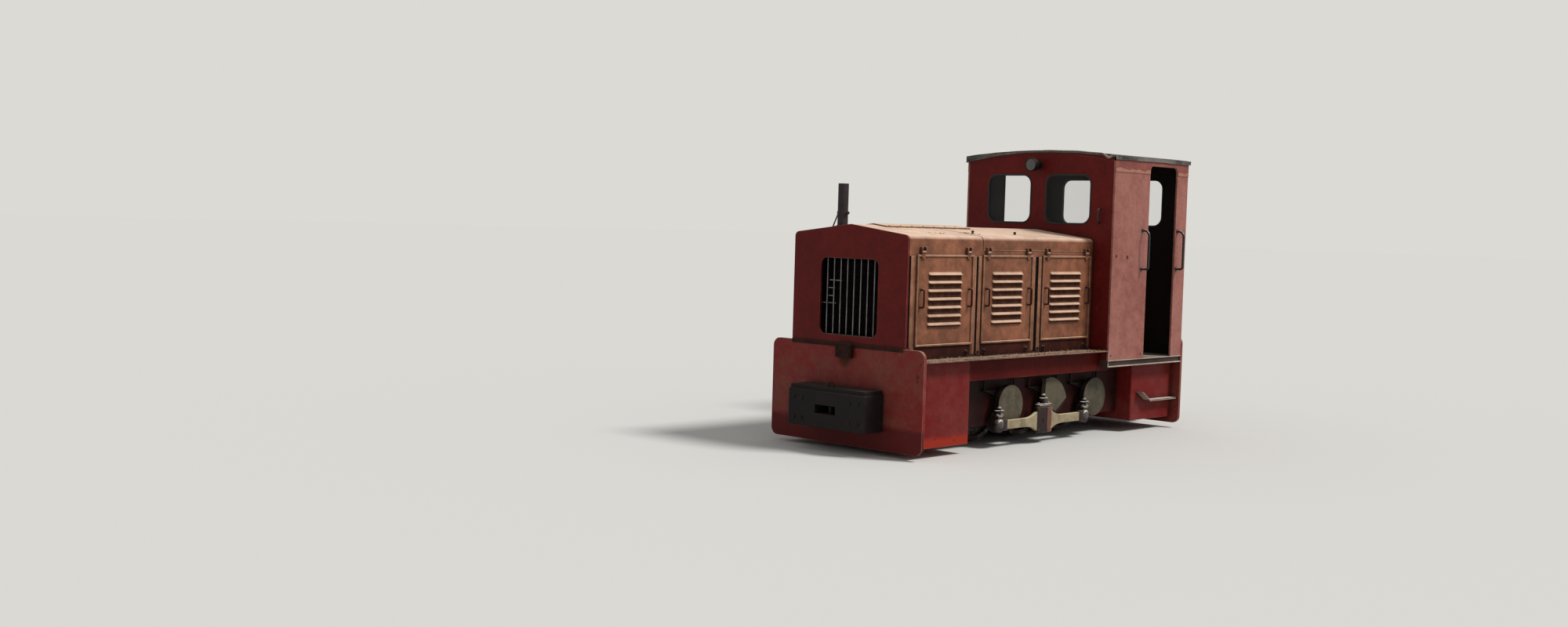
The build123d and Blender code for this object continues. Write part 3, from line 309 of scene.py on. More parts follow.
PAINT_EXTRAS = {  # stains are (place, radius)
    "cab_red": {"inside_shade": CAB_INSIDE_SHADE, "waves": 0.004,
                "stains": [((-0.748, 0.85, 1.676), 0.02), ((-0.933, 0.85, 1.668), 0.022)]},
    "front_red": {"inside_shade": CAB_INSIDE_SHADE},
    # On the end plate the lower band is darker towards the bottom.
    "plate_red": {"lower_band": (0.245, "#541211"),
                  "stains": [((1.985, 0.787, 0.685), 0.022), ((1.985, 0.785, 0.649), 0.016),
                             ((1.985, 0.820, 0.791), 0.014), ((1.985, 0.682, 0.193), 0.03),
                             ((1.985, 0.731, 0.238), 0.016), ((1.985, 0.0, 0.755), 0.07)]},
    # On the front ballast box the lower band is painted sunlight, a brighter orange-red than the coat.
    "frame_red": {"lower_band": (0.161, "#8c2616"),
                  "stains": [((1.638, 0.755, 0.320), 0.02), ((1.713, 0.755, 0.247), 0.014),
                             ((1.698, 0.755, 0.160), 0.012), ((1.443, 0.755, 0.133), 0.014),
                             ((1.307, 0.755, 0.484), 0.014)]},
    "bonnet_brown": {"waves": 0.003},
}
FINISHES = {finish: weathered_paint(*recipe, **PAINT_EXTRAS.get(finish, {}))
            for finish, (slot, *recipe) in PAINTS.items()}
print(len(FINISHES), "paints")

# %% [markdown]
# ## Bare metal, glass and the rest
# A wheel's tread is polished by the rail and brown with rust everywhere else; here bare steel and rust
# lie in patches at random. Window glass is thin float glass, a lamp's lens is ribbed glass gone cloudy,
# and the seat is black vinyl.

# %% Other finishes
def wheel_steel_finish():
    """Rolled steel: bare metal under patchy brown rust."""
    material, add, surface, place = new_material("rusty wheel steel", {})
    patches = add("TexNoise", {"Scale": per_metre(70), "Detail": 10.0, "Roughness": 0.65}, {"Vector": place})
    rusted = add("MapRange", {"From Min": 0.36, "From Max": 0.50}, {"Value": patches})
    tint = add("Mix", {"data_type": "RGBA", 6: linear("#5b524d"), 7: linear("#2b1c16")}, {0: rusted})
    bare = add("MapRange", {"To Min": 0.9, "To Max": 0.1}, {"Value": rusted})
    dull = add("MapRange", {"To Min": 0.35, "To Max": 0.85}, {"Value": rusted})
    bump = add("Bump", {"Strength": 0.4, "Distance": 0.0005}, {"Height": patches})
    link(surface, {"Base Color": tint.outputs[2], "Metallic": bare, "Roughness": dull, "Normal": bump})
    return material


def window_glass_finish():
    """Clear float glass: open to light apart from a thin grey film that keeps its shine."""
    material, add, surface, place = new_material(
        "window glass", {"Base Color": linear("#3c413f"), "Alpha": 0.06, "Specular IOR Level": 1.0})
    dirt = add("TexNoise", {"Scale": per_metre(180), "Detail": 6.0}, {"Vector": place})
    dull = add("MapRange", {"From Min": 0.5, "From Max": 0.8, "To Min": 0.04, "To Max": 0.3}, {"Value": dirt})
    link(surface, {"Roughness": dull})
    return material


def lens_glass_finish():
    """Cloudy pressed glass with fine upright ribs, 6 mm apart, over a dull reflector."""
    material, add, surface, place = new_material(
        "cloudy lens glass",
        {"Base Color": linear("#3b3835"), "Roughness": 0.2, "Transmission Weight": 0.2, "Coat Weight": 0.6})
    ribs = add("TexWave", {"bands_direction": "Y", "Scale": per_metre(6) / 6.28}, {"Vector": place})
    link(surface, {"Normal": add("Bump", {"Strength": 0.3, "Distance": 0.001}, {"Height": ribs.outputs[1]})})
    return material


def grained_finish(name, colour, roughness, grain_mm, depth, variety, gloss):
    """Moulded rubber, vinyl or crumbled leaf: one colour, mottled, with a grain."""
    material, add, surface, place = new_material(name, {"Specular IOR Level": gloss})
    cells = add("TexVoronoi", {"Scale": per_metre(grain_mm)}, {"Vector": place})
    mottle = add("TexNoise", {"Scale": per_metre(8 * grain_mm), "Detail": 5.0}, {"Vector": place})
    value = add("MapRange", {"From Min": 0.3, "From Max": 0.7, "To Min": 1 - variety, "To Max": 1 + variety},
                {"Value": mottle})
    tint = add("HueSaturation", {"Color": linear(colour)}, {"Value": value})
    dull = add("MapRange", {"To Min": roughness - 0.1, "To Max": roughness + 0.15}, {"Value": mottle})
    bump = add("Bump", {"Strength": 0.5, "Distance": depth}, {"Height": cells})
    link(surface, {"Base Color": tint, "Roughness": dull, "Normal": bump})
    return material


GRAINED = {
    # finish: (slot, what it is, colour, roughness, grain in mm, its depth in m, variety, gloss)
    "window_rubber": ("black_iron", "window rubber", "#171616", 0.7, 3, 0.0002, 0.2, 0.5),
    "seat_vinyl": ("seat_leather", "black seat vinyl", "#1c1a19", 0.5, 2.5, 0.0003, 0.25, 0.5),
    "leaf_litter": ("bonnet_paint", "dry leaf litter", "#8a6f4e", 0.9, 4, 0.0005, 0.7, 0.5),
    "dial_face": ("desk_paint", "dial face", "#b9b4a4", 0.4, 4, 0.00005, 0.1, 0.5),
    # These stand for unlit places, so they have almost no gloss: the slot brown is painted shade in the
    # louvres, and the matt black is painted shade behind the grille and under the cab roof as well as the
    # colour of the dark joints.
    "joint_and_shade_black": ("black_iron", "matt soot", "#0d0808", 0.9, 6, 0.0004, 0.4, 0.05),
    "shadow_brown": ("bonnet_paint", "grimy slot brown", "#432a20", 0.9, 6, 0.0004, 0.4, 0.05),
}
FINISHES |= {finish: grained_finish(*recipe) for finish, (slot, *recipe) in GRAINED.items()}
FINISHES |= {"wheel_steel": wheel_steel_finish(), "window_glass": window_glass_finish(),
             "lens_glass": lens_glass_finish()}
SLOT_OF = {finish: slot for finish, (slot, *recipe) in (PAINTS | GRAINED).items()}
SLOT_OF["lens_glass"] = "lamp_metal"
print(len(FINISHES), "finishes")

# %% [markdown]
# ## Dress the rigid parts
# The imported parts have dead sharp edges, and nothing real has: plate is rounded where it was sheared and
# castings have soft corners. A bevel modifier of a few millimetres catches the light along every edge
# without touching the part's own mesh, after a weld modifier has closed the seams between its faces.

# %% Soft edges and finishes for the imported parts
PLACES = ("front", "middle", "rear")
NODES_OF = {
    "plate_red": ["end_plates"],
    "frame_red": ["ballast_boxes"],
    "valance_red": ["valances"],
    "front_red": ["bonnet_front", "cab_front_wall", "cab_rear_wall"],
    "cab_red": ["cab_left_wall", "cab_right_wall"],
    "bonnet_brown": ["bonnet_roof_front", "bonnet_roof_rear", "bonnet_posts", "door_hinge_pegs"],
    "worn_tan": ["roof_cover"],
    "sill_brown": ["bonnet_sills"],
    "base_brown": ["cab_floor"],
    "rust_iron": ["front_bracket"],
    "board_brown": ["running_boards"],
    "shade_red": ["side_frames", "cross_members"],
    "black_iron": ["axleboxes", "leaf_springs", "brake_gear", "gearbox_block",
                   *(f"{place}_cranks" for place in PLACES)],
    # Behind the grille the engine block and radiator are matt black, painted shade inside the bonnet.
    "joint_and_shade_black": ["engine_block", "radiator"],
    "exhaust_black": ["exhaust_pipe"],
    "coupler_iron": ["couplers"],
    "wheel_steel": [f"{place}_{kind}" for place in PLACES for kind in ("wheels", "axle")],
    "window_glass": ["cab_windows"],
}
EDGE_ROUNDING = {"cab_windows": 0.0005, "running_boards": 0.0015, "valances": 0.001, "ballast_boxes": 0.001}
USUAL_ROUNDING = 0.003


def soften_edges(part, width):
    """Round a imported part's edges with modifiers, which leave its own mesh as it is."""
    weld = part.modifiers.new("weld", "WELD")
    weld.merge_threshold = 0.00002
    bevel = part.modifiers.new("edge rounding", "BEVEL")
    bevel.width = width
    bevel.segments = 2
    bevel.limit_method = "ANGLE"
    bevel.angle_limit = math.radians(32)
    bevel.harden_normals = True
    if "custom_normal" in part.data.attributes:
        part.data.attributes.remove(part.data.attributes["custom_normal"])
    part.data.shade_smooth()


for finish, names in NODES_OF.items():
    for name in names:
        nodes[name].data.materials.clear()
        nodes[name].data.materials.append(FINISHES[finish])
        soften_edges(nodes[name], EDGE_ROUNDING.get(name, USUAL_ROUNDING))
print("dressed", sum(len(names) for names in NODES_OF.values()), "parts")

# %% [markdown]
# ## Building blocks for the added pieces
# The loose pieces are made of a few forms: a block with rounded edges, rings of points skinned over, a
# sheet over a grid of points, a form turned about an axis, and a bar bent along a path. Each adds itself
# to an open bmesh, so that many small ones can share one object.

# %% Mesh helpers
SIDES = {"left": 1, "right": -1}
UP = (0, 0, 1)


def new_mesh(name, shape):
    """Turn an open bmesh into a mesh."""
    mesh = bpy.data.meshes.new(name)
    shape.to_mesh(mesh)
    shape.free()
    return mesh


def new_object(name, data):
    """An object with this data, linked into the scene."""
    thing = bpy.data.objects.new(name, data)
    bpy.context.scene.collection.objects.link(thing)
    return thing


def make_piece(name, shape, finish, body="frame", crease=35):
    """Turn an open bmesh into an object with its finish, riding on one of the bodies."""
    bmesh.ops.recalc_face_normals(shape, faces=shape.faces)
    mesh = new_mesh(name, shape)
    mesh.materials.append(FINISHES[finish])
    mesh.shade_smooth()
    mesh.set_sharp_from_angle(angle=math.radians(crease))
    piece = new_object(name, mesh)
    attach(piece, body)
    print(name, len(mesh.polygons), "faces")
    return piece


def add_block(shape, low, high, rounding=0.0):
    """A block between two corners, with its edges rounded."""
    low, high = Vector(low), Vector(high)
    size = Vector([abs(v) for v in high - low])
    corners = bmesh.ops.create_cube(shape, size=1.0)["verts"]
    bmesh.ops.scale(shape, vec=size, verts=corners)
    bmesh.ops.translate(shape, vec=(low + high) / 2, verts=corners)
    if rounding:
        edges = list({edge for corner in corners for edge in corner.link_edges})
        bmesh.ops.bevel(shape, geom=edges, offset=rounding, segments=2, profile=0.5, affect="EDGES")


def add_rings(shape, rings, capped=True, joined=False):
    """Skin over rings of points: the sides between neighbours, and a face over each end."""
    rings = [[shape.verts.new(p) for p in ring] for ring in rings]
    for low, high in zip(rings, rings[1:] + rings[:1] if joined else rings[1:]):
        for i in range(len(low)):
            j = (i + 1) % len(low)
            shape.faces.new((low[i], low[j], high[j], high[i]))
    if capped:
        shape.faces.new(rings[0][::-1])
        shape.faces.new(rings[-1])


def add_sheet(shape, columns):
    """A sheet over a grid of points."""
    columns = [[shape.verts.new(p) for p in column] for column in columns]
    for left, right in zip(columns, columns[1:]):
        for j in range(len(left) - 1):
            shape.faces.new((left[j], right[j], right[j + 1], left[j + 1]))


def add_slab(shape, outline, thickness):
    """A flat plate: an outline of points in a plane, and the vector of its thickness."""
    add_rings(shape, [outline, [Vector(p) + Vector(thickness) for p in outline]])


def around(steps):
    """Angles that share out a full turn."""
    return [2 * math.pi * k / steps for k in range(steps)]


def add_turned(shape, start, axis, profile, steps=24):
    """A form turned about an axis. profile holds (distance along the axis, radius) from end to end."""
    start, axis = Vector(start), Vector(axis).normalized()
    across = axis.orthogonal().normalized()
    other = axis.cross(across)
    add_rings(shape, [[start + axis * along + (across * math.cos(a) + other * math.sin(a)) * radius
                       for a in around(steps)] for along, radius in profile])


def bend(points, radius, steps=6):
    """The same path with its corners replaced by arcs of about this radius."""
    points = [Vector(p) for p in points]
    path = [points[0]]
    for before, corner, after in zip(points, points[1:], points[2:]):
        room_before = (before - corner).length * (0.92 if before is points[0] else 0.48)
        room_after = (after - corner).length * (0.92 if after is points[-1] else 0.48)
        reach = min(radius, room_before, room_after)
        start = corner + (before - corner).normalized() * reach
        end = corner + (after - corner).normalized() * reach
        for i in range(steps + 1):
            t = i / steps
            path.append(start * (1 - t) ** 2 + corner * 2 * t * (1 - t) + end * t * t)
    path.append(points[-1])
    return path


def add_bar(shape, path, radius, steps=12, closed=False):
    """A round bar along a path, closed at both ends, or a ring where the path joins up."""
    across, rings, last = None, [], len(path) - 1
    for i, point in enumerate(path):
        after = path[0 if closed and i == last else min(i + 1, last)]
        before = path[i - 1] if closed or i else path[0]
        ahead = (after - before).normalized()
        if across is None:
            across = ahead.orthogonal().normalized()
        across = (across - ahead * across.dot(ahead)).normalized()
        other = ahead.cross(across)
        rings.append([point + (across * math.cos(a) + other * math.sin(a)) * radius for a in around(steps)])
    add_rings(shape, rings, capped=not closed, joined=closed)


def add_hexagon(shape, start, axis, across_flats, thickness):
    """A nut or bolt head, with its top corners rounded off."""
    radius = across_flats / math.sqrt(3)
    profile = [(0, radius), (thickness * 0.8, radius), (thickness, radius * 0.84)]
    add_turned(shape, start, axis, profile, steps=6)


def add_rivet(shape, start, axis, radius):
    """A round rivet head."""
    profile = [(0, 1), (0.35, 0.9), (0.62, 0.55), (0.7, 0.1)]
    add_turned(shape, start, axis, [(radius * along, radius * share) for along, share in profile], steps=12)


# %% [markdown]
# ## Bonnet doors
# Each door is a flat sheet in a raised frame, with seven louvres pressed out of it and two bar handles.
# A press slits the sheet and draws each louvre out as a hood: it slopes from the sheet at its top edge,
# closes round at both ends and stands open below, so a bright lip sits over a dark slot. Rows of points
# pushed out by a quarter circle at each end give that form. The dark slot is the open mouth and, below it,
# painted shade on the sheet, down over the top of the next hood. The flat of the sheet isn't flat either,
# so it gets a millimetre or two of slow noise. Rims and hoods are a lighter tan, because dust and sun
# wear what stands proud; the pale dust on what faces up is also painted highlight.

# %% Bonnet door sheets, frames and louvres
DOORS = {  # how far the louvres stop short of a door's rear edge and its front edge
    "front": (0.155, 0.151),
    "middle": (0.148, 0.139),
    "rear": (0.151, 0.122),
}
DOOR_BACK, DOOR_FACE, DOOR_TOP = 0.6375, 0.6435, 1.672
SHEET_STEPS, DENT = 36, 0.0022
FRAME_SECTION = [(0.0, 0.0), (0.0, 0.008), (0.003, 0.0115), (0.009, 0.0125), (0.014, 0.0115), (0.017, 0.008),
                 (0.017, 0.0)]
LOUVRE_COUNT, LOUVRE_PITCH, LOUVRE_FIRST = 7, 0.0693, 1.0875
LOUVRE_HEIGHT, LOUVRE_DEPTH, LOUVRE_LIP, LOUVRE_END, LOUVRE_STEPS = 0.036, 0.024, 0.005, 0.020, 8
SLOT_SHADE_DROP, LAST_SLOT_SHADE_DROP = 0.048, 0.014
HANDLE_FEET, HANDLE_INSET, HANDLE_REACH = (1.240, 1.385), 0.056, 0.040
HANDLE_BEND, HANDLE_BAR, HANDLE_FLANGE = 0.014, 0.0075, [(0, 0.013), (0.0035, 0.013), (0.0045, 0.011)]
HINGE_INSET, HINGE_Y, HINGE_Z, HINGE_HALF = 0.072, 0.653, 1.691, 0.02
HINGE_LOOP = [(0, 0.011), (0.001, 0.013), (0.039, 0.013), (0.04, 0.011)]


def add_louvre(shape, side, x_rear, x_front, z_low):
    """One pressed hood, open below, with rounded ends."""
    ends = [LOUVRE_END * (1 - math.cos(math.pi / 2 * k / LOUVRE_STEPS)) for k in range(LOUVRE_STEPS + 1)]
    columns = []
    for x in [x_rear + e for e in ends] + [x_front - e for e in reversed(ends)]:
        near = min(min(x - x_rear, x_front - x) / LOUVRE_END, 1.0)
        swell = math.sqrt(max(1 - (1 - near) ** 2, 0.0))
        top, lip = z_low + LOUVRE_HEIGHT * (0.45 + 0.55 * swell), z_low + LOUVRE_LIP
        column = [(LOUVRE_DEPTH * swell * (j / LOUVRE_STEPS) ** 2.6, top + (lip - top) * j / LOUVRE_STEPS)
                  for j in range(LOUVRE_STEPS + 1)]
        column += [(LOUVRE_DEPTH * swell, z_low), (LOUVRE_DEPTH * swell * 0.85, z_low), (0.0, lip)]
        columns.append([(x, side * (DOOR_FACE + out), z) for out, z in column])
    add_sheet(shape, columns)


def add_door_sheet(shape, side, x_rear, x_front, z_low, seed):
    """The outer face of a door, with slow dents in it, on a flat backing plate."""
    add_block(shape, (x_rear, side * DOOR_BACK, z_low), (x_front, side * (DOOR_FACE - 0.002), DOOR_TOP))
    columns = []
    for i in range(SHEET_STEPS + 1):
        x, column = x_rear + (x_front - x_rear) * i / SHEET_STEPS, []
        for j in range(SHEET_STEPS + 1):
            z = z_low + (DOOR_TOP - z_low) * j / SHEET_STEPS
            rim = min(x - x_rear, x_front - x, z - z_low, DOOR_TOP - z)
            dent = noise.noise(Vector((x * 4 + seed, z * 4, seed))) * DENT * min(rim / 0.08, 1.0)
            column.append((x, side * (DOOR_FACE + dent), z))
        columns.append(column)
    add_sheet(shape, columns)


def dress_door(side_name, side, place, insets, seed):
    """One bonnet door with its frame, louvres, hinge loops and handles."""
    node, body = f"{side_name}_{place}_bonnet_door", f"{side_name}_{place}_door"
    low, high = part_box(node)
    x_rear, x_front, z_low = low.x, high.x, low.z
    sheet, pressings, painted_slot_shades, handles = (bmesh.new() for _ in range(4))
    add_door_sheet(sheet, side, x_rear, x_front, z_low, seed)
    for x in (x_rear + HINGE_INSET, x_front - HINGE_INSET):
        add_turned(sheet, (x - HINGE_HALF, side * HINGE_Y, HINGE_Z), (1, 0, 0), HINGE_LOOP)
        add_block(sheet, (x - HINGE_HALF, side * (HINGE_Y - 0.003), DOOR_TOP - 0.034),
                  (x + HINGE_HALF, side * (HINGE_Y + 0.004), HINGE_Z), rounding=0.0015)
    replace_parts(make_piece(f"{node}_sheet", sheet, "bonnet_brown", body), node)

    frame_rings = []
    for inset, lift in FRAME_SECTION:
        y, z0, z1 = side * (DOOR_FACE - 0.0005 + lift), z_low + inset, DOOR_TOP - inset
        x0, x1 = x_rear + inset, x_front - inset
        frame_rings.append([(x0, y, z0), (x1, y, z0), (x1, y, z1), (x0, y, z1)])
    add_rings(pressings, frame_rings, capped=False)
    for i in range(LOUVRE_COUNT):
        x0, x1, z = x_rear + insets[0], x_front - insets[1], LOUVRE_FIRST + i * LOUVRE_PITCH
        add_louvre(pressings, side, x0, x1, z)
        # Under each lip a dark block is painted shade on the sheet below, down over the top of the next hood.
        drop = SLOT_SHADE_DROP if i else LAST_SLOT_SHADE_DROP
        add_block(painted_slot_shades, (x0 + 0.004, side * (DOOR_FACE - 0.003), z - drop),
                  (x1 - 0.010, side * (DOOR_FACE + 0.0024), z + LOUVRE_LIP), rounding=0.0008)
    make_piece(f"{node}_pressings", pressings, "worn_tan", body)
    make_piece(f"{node}_slots", painted_slot_shades, "shadow_brown", body)

    foot, reach = side * (DOOR_FACE - 0.001), side * (DOOR_FACE + HANDLE_REACH)
    z0, z1 = HANDLE_FEET
    for x in (x_rear + HANDLE_INSET, x_front - HANDLE_INSET):
        path = bend([(x, foot, z0), (x, reach, z0), (x, reach, z1), (x, foot, z1)], HANDLE_BEND)
        add_bar(handles, path, HANDLE_BAR)
        for z in HANDLE_FEET:
            add_turned(handles, (x, foot, z), (0, side, 0), HANDLE_FLANGE, steps=16)
    make_piece(f"{node}_handles", handles, "sill_brown", body)


for side_name, side in SIDES.items():
    for number, (place, insets) in enumerate(DOORS.items()):
        dress_door(side_name, side, place, insets, seed=3.1 * number + 10 * (side + 1))

# %% [markdown]
# ## Bonnet posts, roof and latches
# Between the doors stand welded channels: a dark joint and a raised strip on each, bolted at the foot.
# The roof is folded sheet with a bead along the skirt of its rear half, a few lifting knobs beside the
# ridge, and a cover held by screws. All are small rounded blocks and turned heads, gathered into a
# few joined meshes, because they never move apart.

# %% Posts, bead and latches
BONNET_SIDE = 0.637
post_low, post_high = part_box("bonnet_posts")
BONNET_REAR, BONNET_FRONT, SKIRT = post_low.x, post_high.x, post_high.z
ROOF_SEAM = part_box("bonnet_roof_front")[0].x
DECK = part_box("running_boards")[1].z
LATCH_INSET, LATCH_Y = 0.060, 0.645
LATCH_KNOB = [(0, 0.010), (0.010, 0.010), (0.013, 0.006), (0.014, 0.001)]


def dress_bonnet_side(side_name, side):
    """Door posts, skirt bead and latch bolts on one side of the bonnet."""
    strips, joints, bolts = bmesh.new(), bmesh.new(), bmesh.new()
    face, proud = side * BONNET_SIDE, side * (BONNET_SIDE + 0.007)
    boxes = {place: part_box(f"{side_name}_{place}_bonnet_door") for place in DOORS}
    raised, sunk = [], []
    for ahead, behind in (("front", "middle"), ("middle", "rear")):
        x_front, x_rear = boxes[ahead][0].x, boxes[behind][1].x
        raised += [(x_rear + 0.012, x_rear + 0.056, 0.022), (x_front - 0.046, x_front - 0.010, 0.022)]
        sunk.append((x_rear + 0.0565, x_front - 0.0465, 0.015))
        add_hexagon(bolts, (x_rear + 0.034, proud, DECK + 0.04), (0, side, 0), 0.022, 0.010)
    raised.append((BONNET_FRONT - 0.052, BONNET_FRONT - 0.016, 0.1))
    sunk.append((BONNET_FRONT - 0.0155, BONNET_FRONT, 0.1))
    for x_low, x_high, foot in raised:
        add_block(strips, (x_low, face, DECK + foot), (x_high, proud, SKIRT), rounding=0.003)
    for x_low, x_high, foot in sunk:
        add_block(joints, (x_low, face, DECK + foot), (x_high, side * (BONNET_SIDE + 0.0015), SKIRT))
    add_block(strips, (BONNET_REAR, face, SKIRT + 0.052),
              (ROOF_SEAM - 0.003, side * (BONNET_SIDE + 0.004), SKIRT + 0.058), rounding=0.0015)
    for low, high in boxes.values():
        for x in (low.x + LATCH_INSET, high.x - LATCH_INSET):
            add_hexagon(bolts, (x, side * LATCH_Y, DECK + 0.020), (0, side, 0), 0.017, 0.008)
            add_turned(bolts, (x, side * LATCH_Y, DECK + 0.046), (0, side, 0), LATCH_KNOB, steps=16)
    make_piece(f"{side_name}_post_strips", strips, "worn_tan")
    make_piece(f"{side_name}_post_joints", joints, "joint_and_shade_black")
    make_piece(f"{side_name}_latch_bolts", bolts, "black_iron")


for side_name, side in SIDES.items():
    dress_bonnet_side(side_name, side)

# %% Roof knobs, screws and joint, and the strip under the bonnet front
RIDGE, RIDGE_FALL, SHOULDER, SHOULDER_REACH = 1.906, 0.079, 1.828, 0.039
ROOF_SLOPE = 0.12
COVER_HALF, COVER_THICKNESS, SCREW_COUNT = 0.132, 0.0105, 8
KNOB_PLACES = [(0.86, 0.42), (0.276, 0.44), (0.86, -0.42), (0.276, -0.44)]
LIFTING_KNOB = [(0, 0.016), (0.006, 0.016), (0.008, 0.009), (0.016, 0.009), (0.019, 0.014), (0.027, 0.012),
                (0.029, 0.004)]


def roof_at(y):
    """Height of the bonnet roof at a distance from the centreline."""
    return RIDGE - RIDGE_FALL * abs(y) / BONNET_SIDE


def off_roof(y):
    """Direction that stands square on the roof's slope there."""
    return (0, math.copysign(ROOF_SLOPE, y), 1)


knobs = bmesh.new()
for x, y in KNOB_PLACES:
    add_turned(knobs, (x, y, roof_at(y) - 0.004), off_roof(y), LIFTING_KNOB, steps=16)
cover_low, cover_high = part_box("roof_cover")
for i in range(SCREW_COUNT):
    x = cover_low.x + 0.05 + i * (cover_high.x - cover_low.x - 0.1) / (SCREW_COUNT - 1)
    for y in (-COVER_HALF, COVER_HALF):
        add_rivet(knobs, (x, y, roof_at(y) + COVER_THICKNESS), off_roof(y), 0.008)
make_piece("roof_knobs_and_screws", knobs, "black_iron")

joint, strip = bmesh.new(), bmesh.new()
reach = BONNET_SIDE + 0.0008
outer = bend([(0, reach, SKIRT + 0.06), (0, reach, SHOULDER), (0, 0, RIDGE + 0.0008), (0, -reach, SHOULDER),
              (0, -reach, SKIRT + 0.06)], SHOULDER_REACH)
inner = [Vector((0, p.y * 0.99, p.z - 0.004)) for p in outer]
add_slab(joint, [p + Vector((ROOF_SEAM - 0.0035, 0, 0)) for p in outer + inner[::-1]], (0.0045, 0, 0))
make_piece("bonnet_roof_joint", joint, "joint_and_shade_black")
add_block(strip, (1.974, -0.630, 0.872), (1.989, 0.628, 0.906), rounding=0.003)
make_piece("bonnet_foot_strip", strip, "rust_iron")

# %% [markdown]
# ## Dry leaves and crumbs
# What falls on the running boards stays there, thickest along the bonnet. Each crumb is one bent
# quadrilateral, turned at random from a fixed seed, and thousands of them joined cost little.

# %% Litter on the boards and the roof
BOARD_INNER, BOARD_OUTER = 0.652, 0.838
BOARD_CRUMBS, ROOF_CRUMBS = 900, 260
ROOF_DRIFTS = ((0.96, 0.42), (0.90, 0.50), (1.38, 0.47))


def scatter_litter(name, count, spot, size, seed):
    """Leaf crumbs at the places that spot(random) gives."""
    chance = random.Random(seed)
    shape = bmesh.new()
    for _ in range(count):
        centre = Vector(spot(chance))
        long = chance.uniform(0.4, 1.0) * size
        wide = long * chance.uniform(0.35, 0.8)
        turn = Matrix.Rotation(chance.uniform(0, 2 * math.pi), 3, "Z")
        turn = turn @ Matrix.Rotation(chance.gauss(0, 0.35), 3, "X")
        curl = chance.uniform(0.1, 0.45) * wide
        outline = [(-long, 0, 0), (0, -wide, curl), (long, 0, 0), (0, wide, curl)]
        top = [shape.verts.new(centre + turn @ Vector(p)) for p in outline]
        foot = shape.verts.new(centre + turn @ Vector((0, 0, -0.001)))
        shape.faces.new(top)
        for a, b in zip(top, top[1:] + top[:1]):
            shape.faces.new((b, a, foot))
    make_piece(name, shape, "leaf_litter", crease=20)


def board_spot(side, chance):
    """A place on the running board, most often near its outer edge or the bonnet."""
    drift = BONNET_REAR + 0.12 + 0.31 * chance.randrange(9) + 0.05 * side
    x = chance.gauss(drift, 0.07) if chance.random() < 0.75 else chance.uniform(BONNET_REAR, BONNET_FRONT)
    y = (BOARD_INNER + abs(chance.gauss(0, 0.03)) if chance.random() < 0.35
         else BOARD_OUTER - abs(chance.gauss(0, 0.035)))
    x, y = min(max(x, BONNET_REAR + 0.02), BONNET_FRONT - 0.03), side * min(max(y, BOARD_INNER), BOARD_OUTER)
    return (x, y, DECK + 0.002 + abs(chance.gauss(0, 0.004)))


def roof_spot(chance):
    """A place beside the roof cover, or in one of three drifts on the slope."""
    side = chance.choice((-1, 1))
    if chance.random() < 0.4:
        y = side * (0.152 + abs(chance.gauss(0, 0.012)))
        return (chance.uniform(0.5, 1.65), y, roof_at(y) + 0.003)
    drift = chance.choice(ROOF_DRIFTS)
    y = side * (drift[1] + chance.gauss(0, 0.018))
    return (drift[0] + chance.gauss(0, 0.05), y, roof_at(y) + 0.003)


for side_name, side in SIDES.items():
    scatter_litter(f"{side_name}_board_litter", BOARD_CRUMBS, partial(board_spot, side), 0.012, 11 + side)
scatter_litter("roof_litter", ROOF_CRUMBS, roof_spot, 0.010, 5)

# %% [markdown]
# ## Exhaust, grille and front fittings
# The exhaust is a length of pipe with a clamp and a thin stay. The grille is round bar, not flat, so
# that each bar keeps one thin highlight down its length; a few short rods lie behind it. The bracket is
# rusty, and a pin stands through each coupler.

# %% Exhaust clamp and stay
PIPE = (sum(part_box("exhaust_pipe"), Vector()) / 2).xy
PIPE_FLANGE = [(0, 0.074), (0.014, 0.074), (0.018, 0.068), (0.018, 0.052), (0.034, 0.049)]
FLANGE_BOLTS = 0.062
CLAMP_FOOT, CLAMP = 1.985, [(0, 0.0455), (0.001, 0.0495), (0.027, 0.0495), (0.028, 0.0455)]
STAY_BAR = 0.006
exhaust = bmesh.new()
add_turned(exhaust, (*PIPE, roof_at(PIPE.y) - 0.012), off_roof(PIPE.y), PIPE_FLANGE, steps=32)
add_turned(exhaust, (*PIPE, CLAMP_FOOT), UP, CLAMP, steps=32)
add_block(exhaust, (PIPE.x - 0.008, PIPE.y + 0.044, 1.988), (PIPE.x + 0.008, PIPE.y + 0.07, 2.010),
          rounding=0.002)
add_hexagon(exhaust, (PIPE.x + 0.008, PIPE.y + 0.06, 1.999), (1, 0, 0), 0.016, 0.009)
for i in range(4):
    angle = math.pi / 4 + i * math.pi / 2
    x, y = PIPE.x + FLANGE_BOLTS * math.cos(angle), PIPE.y + FLANGE_BOLTS * math.sin(angle)
    add_hexagon(exhaust, (x, y, roof_at(PIPE.y) + 0.003), off_roof(PIPE.y), 0.014, 0.010)
stay = [(PIPE.x, PIPE.y - 0.05, 1.999), (PIPE.x - 0.02, PIPE.y - 0.13, roof_at(0.39) + 0.02),
        (PIPE.x - 0.02, PIPE.y - 0.14, roof_at(0.4) - 0.004)]
add_bar(exhaust, bend(stay, 0.02), STAY_BAR)
make_piece("exhaust_clamp_and_stay", exhaust, "exhaust_black")

